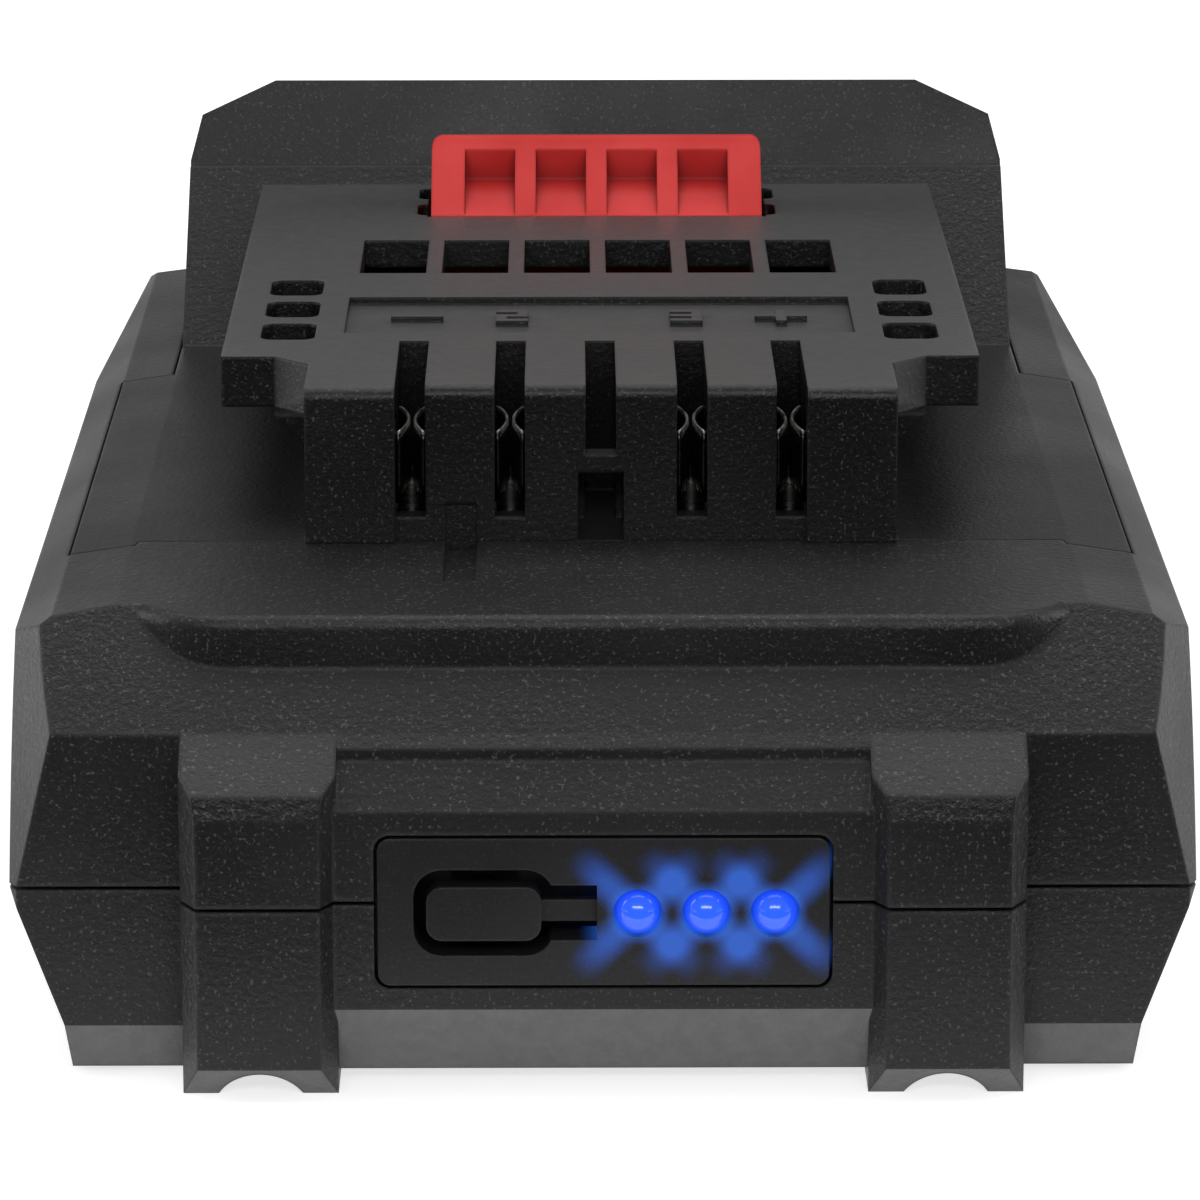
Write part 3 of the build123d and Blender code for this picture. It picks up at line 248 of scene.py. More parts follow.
class Recipe(Graph):
    """A material's node tree, with patterns that are fixed to the piece."""

    def __init__(self, name: str) -> None:
        """Start an empty material.

        Args:
            name: Name of the new material.
        """
        self.material = bpy.data.materials.new(name)
        self.material.use_nodes = True
        super().__init__(self.material.node_tree, "ShaderNodeOutputMaterial")
        self.place = self.add("ShaderNodeTexCoord").outputs["Object"]

    def principled(self, colour: Colour, roughness: float, metallic: float = 0.0,
                   specular: float = 0.5) -> bpy.types.Node:
        """Add the surface shader.

        Args:
            colour: Base colour.
            roughness: Roughness, zero for a mirror.
            metallic: One for metals.
            specular: Strength of the clear reflection of non-metals.

        Returns:
            The shader node, already joined to the output.
        """
        shader = self.add("ShaderNodeBsdfPrincipled")
        shader.inputs["Base Color"].default_value = opaque(colour)
        shader.inputs["Roughness"].default_value = roughness
        shader.inputs["Metallic"].default_value = metallic
        shader.inputs["Specular IOR Level"].default_value = specular
        self.join(shader.outputs["BSDF"], self.output.inputs["Surface"])
        return shader

    def diffuse(self, colour: Colour) -> bpy.types.NodeSocket:
        """Add a plain matt shader.

        Args:
            colour: Its colour.

        Returns:
            The shader's socket.
        """
        shader = self.add("ShaderNodeBsdfDiffuse")
        shader.inputs["Color"].default_value = opaque(colour)
        return shader.outputs["BSDF"]

    def noise(self, size: float, detail: float = 2.0, rough: float = 0.5,
              stretch: Point | None = None) -> bpy.types.NodeSocket:
        """Add a noise pattern fixed to the piece.

        Args:
            size: Typical distance between two light spots.
            detail: Number of finer layers.
            rough: Strength of the finer layers.
            stretch: Scale factors along X, Y and Z.

        Returns:
            The noise value's socket.
        """
        place = self.place
        if stretch is not None:
            scale = self.add("ShaderNodeMapping", vector_type="POINT")
            scale.inputs["Scale"].default_value = stretch
            self.join(place, scale.inputs["Vector"])
            place = scale.outputs["Vector"]
        node = self.add("ShaderNodeTexNoise")
        node.inputs["Scale"].default_value = 1.0 / size
        node.inputs["Detail"].default_value = detail
        node.inputs["Roughness"].default_value = rough
        self.join(place, node.inputs["Vector"])
        return node.outputs["Fac"]

    def spread(self, value: bpy.types.NodeSocket, span: Span,
               out: Span = FULL) -> bpy.types.NodeSocket:
        """Map a value from one span to another, smoothly and clamped.

        Args:
            value: The value's socket.
            span: Where the change starts and ends, in either order.
            out: Results at the span's two ends.

        Returns:
            The result's socket.
        """
        node = self.add("ShaderNodeMapRange", interpolation_type="SMOOTHSTEP")
        self.join(value, node.inputs["Value"])
        names = ("From Min", "From Max", "To Min", "To Max")
        for name, number in zip(names, (*span, *out)):
            node.inputs[name].default_value = number
        return node.outputs["Result"]

    def soft_edges(self, radius: float) -> bpy.types.NodeSocket:
        """Round the shading of sharp edges.

        Args:
            radius: Radius of the rounding.

        Returns:
            The rounded normal's socket.
        """
        node = self.add("ShaderNodeBevel", samples=4)
        node.inputs["Radius"].default_value = radius
        return node.outputs["Normal"]

    def bump(self, height: bpy.types.NodeSocket, depth: float,
             normal: bpy.types.NodeSocket | None = None) -> bpy.types.NodeSocket:
        """Add a bump.

        Args:
            height: Height from 0 to 1.
            depth: Depth of the whole range.
            normal: Normal to start from.

        Returns:
            The bumped normal's socket.
        """
        node = self.add("ShaderNodeBump")
        node.inputs["Distance"].default_value = depth
        node.inputs["Strength"].default_value = 1.0
        self.join(height, node.inputs["Height"])
        if normal is not None:
            self.join(normal, node.inputs["Normal"])
        return node.outputs["Normal"]

    def place_axis(self, axis: str) -> bpy.types.NodeSocket:
        """The piece's own X, Y or Z place."""
        return self.split(self.place).outputs[axis]

    def distance(self, across: bpy.types.NodeSocket,
                 up: bpy.types.NodeSocket) -> bpy.types.NodeSocket:
        """Work out a distance from two sides.

        Args:
            across: Distance to the side.
            up: Distance upwards.

        Returns:
            The straight distance's socket.
        """
        squares = [self.maths("MULTIPLY", side, side) for side in (across, up)]
        return self.maths("SQRT", self.maths("ADD", *squares))

    def blend_colours(self, share: bpy.types.NodeSocket, first: bpy.types.NodeSocket | Colour,
                      second: bpy.types.NodeSocket | Colour) -> bpy.types.NodeSocket:
        """Mix two colours by a share.

        Args:
            share: Zero for the first colour, one for the second.
            first: Colour or socket.
            second: Colour or socket.

        Returns:
            The mixed colour's socket.
        """
        node = self.add("ShaderNodeMix", data_type="RGBA")
        self.join(share, node.inputs["Factor"])
        for place, value in ((MIX_FIRST, first), (MIX_SECOND, second)):
            if isinstance(value, tuple):
                node.inputs[place].default_value = opaque(value)
            else:
                self.join(value, node.inputs[place])
        return node.outputs[MIX_RESULT]


@dataclass(frozen=True)
class PaintedLight:
    """Painted light: lighter plastic on faces of one slant, standing in for the
    light or the floor's reflection that these faces catch.

    The slant is the upward part of the face's normal. The change runs over the
    two numbers of each span, from no painted light to full painted light.
    """

    lift: float
    slant: Span
    heights: Span
    ends_only: bool = False
    end_facing: Span = (0.45, 0.7)
    patch_size: float = 1.2 * MM
    patch_least: float = 0.8

    def lighten(self, r: Recipe, tone: bpy.types.NodeSocket, colour: Colour) -> bpy.types.NodeSocket:
        """Paint light on the faces of the chosen slant and height.

        Args:
            r: The recipe to add to.
            tone: Colour so far.
            colour: The plastic's own colour.

        Returns:
            The lightened colour's socket.
        """
        normal = r.split(r.add("ShaderNodeNewGeometry").outputs["True Normal"])
        share = r.spread(normal.outputs["Z"], self.slant)
        share = r.maths("MULTIPLY", share, r.spread(r.place_axis("Z"), self.heights))
        if self.ends_only:
            end = r.spread(r.maths("ABSOLUTE", normal.outputs["Y"]), self.end_facing)
            share = r.maths("MULTIPLY", share, end)
        patches = r.noise(self.patch_size, detail=4.0, rough=0.7)
        share = r.maths("MULTIPLY", share, r.spread(patches, WIDE, (self.patch_least, 1.0)))
        return r.blend_colours(share, tone, lifted(colour, self.lift))


@dataclass(frozen=True)
class MouldedPlastic:
    """Injection-moulded plastic with a spark-eroded grain, lightly worn edges and, where set, painted
    light on faces of one slant.
    """

    name: str
    colour: Colour
    roughness: float = 0.5
    grain: Grain = Grain.MEDIUM
    edge_radius: float = 0.35 * MM
    specular: float = 0.5
    wear: float = 0.022
    speckle: float = 0.035
    painted_light: PaintedLight | None = None
    cloud_size: float = 18.0 * MM
    cloud_shade: float = 0.82
    speck_share: float = 0.65
    speck_span: Span = (0.60, 0.74)
    edge_facing: Span = (0.995, 0.90)
    edge_most: float = 0.55
    edge_patch: float = 4.0 * MM
    edge_patch_span: Span = (0.4, 0.7)
    edge_patch_least: float = 0.2
    pit_share: float = 1.1
    smoother: float = 0.05
    rougher: float = 0.06

    def build(self) -> bpy.types.Material:
        """Make the material."""
        recipe, _ = self.paint()
        return recipe.material

    def paint(self) -> tuple[Recipe, bpy.types.Node]:
        """Lay out the material's nodes.

        Returns:
            The recipe and its surface shader.
        """
        r = Recipe(self.name)
        shader = r.principled(self.colour, self.roughness, specular=self.specular)
        cloud = r.noise(self.cloud_size, detail=3.0)
        tone = r.blend_colours(r.spread(cloud, CLOUDY), scaled(self.colour, self.cloud_shade),
                               self.colour)
        specks = r.noise(self.grain.size * self.speck_share, detail=1.0, rough=0.6)
        tone = r.blend_colours(r.spread(specks, self.speck_span), tone,
                               lifted(self.colour, self.speckle))
        rounded = r.soft_edges(self.edge_radius)
        tone = r.blend_colours(self.worn_edges(r, rounded), tone, lifted(self.colour, self.wear))
        # Painted light on faces of one slant, where the finish has it.
        if self.painted_light is not None:
            tone = self.painted_light.lighten(r, tone, self.colour)
        r.join(tone, shader.inputs["Base Color"])
        smear = r.spread(cloud, WIDE, (self.roughness - self.smoother, self.roughness + self.rougher))
        r.join(smear, shader.inputs["Roughness"])
        pits = r.noise(self.grain.size * self.pit_share, detail=3.0, rough=0.7)
        r.join(r.bump(pits, self.grain.depth, rounded), shader.inputs["Normal"])
        return r, shader

    def worn_edges(self, r: Recipe, rounded: bpy.types.NodeSocket) -> bpy.types.NodeSocket:
        """Find the edges, where the rounded normal leaves the flat one.

        Args:
            r: The recipe to add to.
            rounded: The rounded normal.

        Returns:
            The share of worn colour, in patches along the edges.
        """
        facing = r.add("ShaderNodeVectorMath", operation="DOT_PRODUCT")
        r.join(rounded, facing.inputs[0])
        r.join(r.add("ShaderNodeNewGeometry").outputs["Normal"], facing.inputs[1])
        rim = r.spread(facing.outputs["Value"], self.edge_facing, (0.0, self.edge_most))
        patches = r.noise(self.edge_patch, detail=3.0)
        return r.maths("MULTIPLY", rim,
                       r.spread(patches, self.edge_patch_span, (self.edge_patch_least, 1.0)))


@dataclass(frozen=True)
class SatinPlastic:
    """Smooth coloured plastic with a soft sheen and painted shade in its pockets."""

    name: str
    colour: Colour
    roughness: float = 0.34
    edge_radius: float = 0.3 * MM
    painted_shade_reach: float = 0.0
    painted_pocket_shade: float = 0.45
    painted_shade_span: Span = (0.35, 0.85)
    specular: float = 0.28
    cloud_size: float = 6.0 * MM
    cloud_span: Span = (0.35, 0.7)
    cloud_gain: float = 1.12
    cloud_lift: float = 0.012
    ripple_size: float = 0.4 * MM
    ripple_depth: float = 0.007 * MM
    scatter: float = 0.06
    scatter_reach: Point = (1.2 * MM, 0.3 * MM, 0.2 * MM)

    def build(self) -> bpy.types.Material:
        """Make the material.

        Returns:
            The new material.
        """
        r = Recipe(self.name)
        shader = r.principled(self.colour, self.roughness, specular=self.specular)
        pale = lifted(scaled(self.colour, self.cloud_gain), self.cloud_lift)
        cloud = r.spread(r.noise(self.cloud_size, detail=2.0), self.cloud_span)
        tone = r.blend_colours(cloud, self.colour, pale)
        # Painted shade: the colour darkens where ambient occlusion finds pockets and recesses.
        if self.painted_shade_reach > 0.0:
            shade = r.add("ShaderNodeAmbientOcclusion", samples=6, only_local=True)
            shade.inputs["Distance"].default_value = self.painted_shade_reach
            tone = r.blend_colours(r.spread(shade.outputs["AO"], self.painted_shade_span),
                                   scaled(self.colour, self.painted_pocket_shade), tone)
        r.join(tone, shader.inputs["Base Color"])
        rounded = r.soft_edges(self.edge_radius)
        ripple = r.noise(self.ripple_size, detail=3.0)
        r.join(r.bump(ripple, self.ripple_depth, rounded), shader.inputs["Normal"])
        shader.inputs["Subsurface Weight"].default_value = self.scatter
        shader.inputs["Subsurface Radius"].default_value = self.scatter_reach
        return r.material


@dataclass(frozen=True)
class PlatedMetal:
    """Tinned, nickelled or blackened metal with fine drawn lines and, where set, painted shade below a
    given height.
    """

    name: str
    colour: Colour
    roughness: float = 0.3
    stretch: Point = (1.0, 1.0, 12.0)
    painted_shade_below: float | None = None
    painted_shade_fade: float = 0.15 * MM
    painted_shade_share: float = 0.09
    tarnish: float = 0.25
    tarnish_size: float = 3.0 * MM
    tarnish_span: Span = (0.4, 0.72)
    line_size: float = 1.6 * MM
    line_depth: float = 0.006 * MM
    smoother: float = 0.08
    rougher: float = 0.1
    edge_radius: float = 0.08 * MM

    def build(self) -> bpy.types.Material:
        """Make the material.

        Returns:
            The new material.
        """
        r = Recipe(self.name)
        shader = r.principled(self.colour, self.roughness, metallic=1.0)
        lines = r.noise(self.line_size, detail=4.0, rough=0.6, stretch=self.stretch)
        tarnished = r.spread(r.noise(self.tarnish_size, detail=3.0), self.tarnish_span)
        tone = r.blend_colours(tarnished, self.colour, scaled(self.colour, 1.0 - self.tarnish))
        # Painted shade: below the given height the metal is darkened, for parts lying in shadow under
        # a lit top.
        if self.painted_shade_below is not None:
            fade = (self.painted_shade_below - self.painted_shade_fade, self.painted_shade_below)
            tone = r.blend_colours(r.spread(r.place_axis("Z"), fade),
                                   scaled(self.colour, self.painted_shade_share), tone)
        r.join(tone, shader.inputs["Base Color"])
        smear = r.spread(lines, WIDE, (self.roughness - self.smoother, self.roughness + self.rougher))
        r.join(smear, shader.inputs["Roughness"])
        r.join(r.bump(lines, self.line_depth, r.soft_edges(self.edge_radius)), shader.inputs["Normal"])
        return r.material


@dataclass(frozen=True)
class LampRow:
    """Where the lamps of the charge gauge stand."""

    centres: tuple[float, ...]
    height: float


@dataclass(frozen=True)
class LitLens:
    """A clear dome lit from behind, brightest at its middle."""

    name: str
    colour: Colour
    middle: Colour
    row: LampRow
    radius: float
    strength: float
    roughness: float = 0.18
    clear_coat: float = 0.5
    middle_share: float = 0.45
    colour_share: float = 0.72
    rim_shade: float = 0.45

    def build(self) -> bpy.types.Material:
        """Make the material.

        Returns:
            The new material.
        """
        r = Recipe(self.name)
        shader = r.principled(self.colour, self.roughness)
        nearest: bpy.types.NodeSocket | None = None
        up = r.maths("SUBTRACT", r.place_axis("Z"), self.row.height)
        for centre in self.row.centres:
            far = r.distance(r.maths("SUBTRACT", r.place_axis("X"), centre), up)
            nearest = far if nearest is None else r.maths("MINIMUM", nearest, far)
        glow = r.ramp(r.maths("DIVIDE", nearest, self.radius), [
            (0.0, self.middle), (self.middle_share, self.middle),
            (self.colour_share, self.colour), (1.0, scaled(self.colour, self.rim_shade)),
        ])
        r.join(glow, shader.inputs["Emission Color"])
        shader.inputs["Emission Strength"].default_value = self.strength
        shader.inputs["Coat Weight"].default_value = self.clear_coat
        return r.material


@dataclass(frozen=True)
class GlowingPanel:
    """Fine moulded plastic with the lamps' light painted on it as emission.

    Each lamp paints four slanted arms of light and a small halo on the panel. The spans are in shares
    of the reach, from no light to most light.
    """

    base: MouldedPlastic
    glow: Colour
    row: LampRow
    reach: float
    strength: float
    arm_width: Span = (0.42, 0.02)
    arm_most: float = 0.7
    arm_fade: Span = (1.18, 0.50)
    halo_fade: Span = (0.44, 0.28)
    halo_most: float = 0.35

    def build(self) -> bpy.types.Material:
        """Make the material.

        Returns:
            The new material.
        """
        r, shader = self.base.paint()
        total: bpy.types.NodeSocket | None = None
        up = r.maths("DIVIDE", r.maths("SUBTRACT", r.place_axis("Z"), self.row.height), self.reach)
        for centre in self.row.centres:
            across = r.maths("DIVIDE", r.maths("SUBTRACT", r.place_axis("X"), centre), self.reach)
            light = self.lamp_light(r, across, up)
            total = light if total is None else r.maths("ADD", total, light)
        colour = r.blend_colours(r.maths("MINIMUM", total, 1.0), BLACK, self.glow)
        r.join(colour, shader.inputs["Emission Color"])
        shader.inputs["Emission Strength"].default_value = self.strength
        return r.material

    def lamp_light(self, r: Recipe, across: bpy.types.NodeSocket,
                   up: bpy.types.NodeSocket) -> bpy.types.NodeSocket:
        """Work out one lamp's light on the panel.

        Args:
            r: The recipe to add to.
            across: Distance to the side of the lamp, in reaches.
            up: Distance above the lamp, in reaches.

        Returns:
            The light's socket.
        """
        slants = [r.maths("ABSOLUTE", r.maths(way, across, up)) for way in ("ADD", "SUBTRACT")]
        far = r.distance(across, up)
        arm = r.spread(r.maths("MINIMUM", *slants), self.arm_width, (0.0, self.arm_most))
        arms = r.maths("MULTIPLY", arm, r.spread(far, self.arm_fade))
        return r.maths("ADD", arms, r.spread(far, self.halo_fade, (0.0, self.halo_most)))


@dataclass(frozen=True)
class BoardLaminate:
    """Solder mask over copper tracks."""

    name: str
    mask: Colour
    track: Colour
    roughness: float = 0.3
    tracks_per_metre: float = 160.0
    track_width: float = 0.03
    field_width: float = 0.9
    field_height: float = 0.35
    track_depth: float = 0.03 * MM

    def build(self) -> bpy.types.Material:
        """Make the material.

        Returns:
            The new material.
        """
        r = Recipe(self.name)
        shader = r.principled(self.mask, self.roughness)
        grid = r.add("ShaderNodeTexBrick", offset=0.5)
        for key, value in (("Scale", self.tracks_per_metre), ("Mortar Size", self.track_width),
                           ("Brick Width", self.field_width), ("Row Height", self.field_height)):
            grid.inputs[key].default_value = value
        r.join(r.place, grid.inputs["Vector"])
        tone = r.blend_colours(grid.outputs["Fac"], self.mask, self.track)
        r.join(tone, shader.inputs["Base Color"])
        r.join(r.bump(grid.outputs["Fac"], self.track_depth), shader.inputs["Normal"])
        return r.material


@dataclass(frozen=True)
class FibreSheet:
    """Paper, foam or film with a faint fibre."""

    name: str
    colour: Colour
    roughness: float
    fibre: float
    specular: float = 0.3
    fibre_shade: float = 0.8
    depth_share: float = 0.1

    def build(self) -> bpy.types.Material:
        """Make the material.

        Returns:
            The new material.
        """
        r = Recipe(self.name)
        shader = r.principled(self.colour, self.roughness, specular=self.specular)
        fibres = r.noise(self.fibre, detail=5.0, rough=0.7)
        tone = r.blend_colours(fibres, self.colour, scaled(self.colour, self.fibre_shade))
        r.join(tone, shader.inputs["Base Color"])
        r.join(r.bump(fibres, self.fibre * self.depth_share), shader.inputs["Normal"])
        return r.material


GAUGE_LAMPS = LampRow(centres=(2.15 * MM, 6.45 * MM, 10.75 * MM), height=11.9 * MM)
# Painted reflection of the pale floor on the downward bottom chamfers at both ends.
BOTTOM_FLOOR_REFLECTION = PaintedLight(0.165, slant=(-0.12, -0.27), heights=(6.2 * MM, 5.7 * MM), ends_only=True)
# Painted light on the upward faces of the cover from the guide plate up.
PLATE_TOP_LIGHT = PaintedLight(0.052, slant=(0.90, 0.99), heights=(38.4 * MM, 38.8 * MM))

HOUSING = MouldedPlastic("housing_shell", (0.0078, 0.0078, 0.0082), 0.42, Grain.COARSE, 0.45 * MM,
                         specular=0.41, speckle=0.05, painted_light=BOTTOM_FLOOR_REFLECTION)
# The cover's plastic is darker than the housing's, as painted shade for its shadowed block front and
# tips.
COVER = MouldedPlastic("guide_cover", (0.0022, 0.0022, 0.0024), 0.42, Grain.MEDIUM, 0.3 * MM,
                       specular=0.41, speckle=0.045, painted_light=PLATE_TOP_LIGHT)
PANEL = MouldedPlastic("gauge_face", (0.0125, 0.0125, 0.013), 0.40, Grain.FINE, 0.2 * MM,
                       specular=0.38, speckle=0.012)
FRAME = MouldedPlastic("cell_frame", (0.02, 0.02, 0.021), 0.45, Grain.FINE, 0.2 * MM)
CHIPS = MouldedPlastic("chip_resin", (0.03, 0.03, 0.032), 0.35, Grain.FINE, 0.1 * MM)
LAMPS = MouldedPlastic("lamp_resin", (0.85, 0.84, 0.78), 0.3, Grain.POLISHED, 0.1 * MM, wear=0.05)
LATCH_RED = SatinPlastic("latch_red", (0.53, 0.016, 0.014), 0.42, painted_shade_reach=3.0 * MM)
SLEEVE = SatinPlastic("cell_sleeve", (0.03, 0.24, 0.20), 0.25, edge_radius=0.1 * MM)
# Painted shade darkens the forks below their lit top rims, where the leaves lie in the slot's shadow.
CONTACT = PlatedMetal("tinned_contact", (0.78, 0.77, 0.74), 0.34, painted_shade_below=36.05 * MM)
NICKEL = PlatedMetal("nickel_strap", (0.66, 0.63, 0.57), 0.3)
SPRING = PlatedMetal("spring_wire", (0.6, 0.6, 0.62), 0.25)
SCREW = PlatedMetal("black_screw", (0.09, 0.09, 0.095), 0.38, stretch=(1.0, 1.0, 1.0))
BOARD = BoardLaminate("board_mask", (0.02, 0.13, 0.05), (0.03, 0.22, 0.09))
DARK_BOARD = BoardLaminate("black_mask", (0.008, 0.009, 0.009), (0.016, 0.017, 0.017))
PAPER = FibreSheet("ring_paper", (0.7, 0.68, 0.6), 0.8, fibre=0.6 * MM)
FOAM = FibreSheet("foam_cells", (0.08, 0.08, 0.08), 0.95, fibre=0.8 * MM)
FILM = FibreSheet("ribbon_film", (0.78, 0.78, 0.75), 0.35, fibre=2.0 * MM)
LENS = LitLens("lit_lens", (0.012, 0.068, 0.78), (0.020, 0.100, 0.90), GAUGE_LAMPS,
               radius=1.5 * MM, strength=0.85)
GLOW_PANEL = GlowingPanel(PANEL, (0.016, 0.088, 0.46), GAUGE_LAMPS, reach=5.0 * MM, strength=1.15)


def give_finish(frame: dict, finish: Finish, *nodes: str) -> None:
    """Give CAD nodes a finish.

    Args:
        finish: The finish, which makes one material for all the nodes.
        *nodes: Names of the nodes.
    """
    material = finish.build()
    for name in nodes:
        node = frame["nodes"][name]
        for place in node.material_slots:
            place.material = material
        if not node.material_slots:
            node.data.materials.append(material)
    LOG.info("%s on %s", material.name, ", ".join(nodes))


def new_piece(name: str, mesh: bmesh.types.BMesh, finish: Finish, body: Body) -> bpy.types.Object:
    """Turn a mesh into a smooth piece that rides on a body.

    Args:
        name: Name of the piece.
        mesh: Its faces, which are freed here.
        finish: The finish that it gets.
        body: The body that carries it.

    Returns:
        The new object.
    """
    data = bpy.data.meshes.new(name)
    bmesh.ops.recalc_face_normals(mesh, faces=mesh.faces)
    mesh.to_mesh(data)
    mesh.free()
    data.materials.append(finish.build())
    for face in data.polygons:
        face.use_smooth = True
    piece = bpy.data.objects.new(name, data)
    bpy.context.collection.objects.link(piece)
    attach(piece, body.value)
    LOG.info("piece %s rides on %s", name, body.value)
    return piece


def studio_object(name: str, mesh: bmesh.types.BMesh,
                  material: bpy.types.Material) -> bpy.types.Object:
    """Turn a mesh into an object of the studio.

    Args:
        name: Name of the object.
        mesh: Its faces, which are freed here.
        material: Its material.

    Returns:
        The new object.
    """
    data = bpy.data.meshes.new(name)
    mesh.to_mesh(data)
    mesh.free()
    data.materials.append(material)
    thing = bpy.data.objects.new(name, data)
    bpy.context.collection.objects.link(thing)
    return thing


@dataclass
class Housing:
    """Lower and upper body shells."""

    shells: tuple[str, ...] = ("lower_housing", "upper_housing")

    def dress(self, frame: dict) -> None:
        """Finish the shells."""
        give_finish(frame, HOUSING, *self.shells)


@dataclass
class GuideCover:
    """Deck, terminal block, guide plate and rear hump."""

    node: str = "top_cover"

    def dress(self, frame: dict) -> None:
        """Finish the cover."""
        give_finish(frame, COVER, self.node)


@dataclass
class Latch:
    """The sprung latch with its bracket and two coil springs.

    rest_share is the share of its rest length that a coil keeps with the latch
    pressed as far as it goes; the coils here are not squeezed by it.
    """

    springs: tuple[str, ...] = ("latch_spring_left", "latch_spring_right")
    wire: float = 0.4 * MM
    turns: int = 7
    closed_turns: int = 1
    steps_per_turn: int = 20
    around: int = 8
    rest_share: float = 6.0 / 11.0

    def dress(self, frame: dict) -> None:
        """Finish the latch and its bracket."""
        give_finish(frame, LATCH_RED, "latch_slider")
        give_finish(frame, FRAME, "latch_bracket")

    def build_springs(self) -> None:
        """Wind both springs inside the sleeves that stand for them."""
        for name in self.springs:
            low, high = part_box(name)
            coil = self.wind(Vector(low), Vector(high))
            piece = new_piece(name.replace("spring", "coil"), coil, SPRING, Body.PACK)
            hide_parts(name)
            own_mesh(piece)

    def wind(self, low: Vector, high: Vector) -> bmesh.types.BMesh:
        """Make one coil with flat closed ends.

        Args:
            low: Lowest corner of the sleeve.
            high: Highest corner of the sleeve.

        Returns:
            The coil's mesh.
        """
        mesh = bmesh.new()
        middle = (low + high) / 2
        radius = (high.x - low.x) / 2 - self.wire
        rise = high.z - low.z - 2 * self.wire
        open_turns = self.turns - 2 * self.closed_turns
        count = self.turns * self.steps_per_turn
        rings = []
        for i in range(count + 1):
            turned = self.turns * i / count
            climbed = min(max((turned - self.closed_turns) / open_turns, 0.0), 1.0)
            angle = 2 * math.pi * turned
            out = Vector((math.cos(angle), math.sin(angle), 0))
            start = Vector((middle.x, middle.y, low.z + self.wire + rise * climbed))
            rings.append(self.ring(mesh, start + out * radius, out))
        for first, second in zip(rings, rings[1:]):
            for k in range(self.around):
                n = (k + 1) % self.around
                mesh.faces.new((first[k], first[n], second[n], second[k]))
        mesh.faces.new(rings[0])
        mesh.faces.new(rings[-1])
        return mesh

    def ring(self, mesh: bmesh.types.BMesh, centre: Vector,
             out: Vector) -> list[bmesh.types.BMVert]:
        """Add the wire's outline at one place of the coil.

        Args:
            mesh: Mesh to add to.
            centre: Middle of the wire.
            out: Direction away from the coil's axis.

        Returns:
            The outline's points in order.
        """
        points = []
        for k in range(self.around):
            turn = 2 * math.pi * k / self.around
            across = out * self.wire * math.cos(turn)
            points.append(mesh.verts.new(centre + across + Vector((0, 0, self.wire * math.sin(turn)))))
        return points


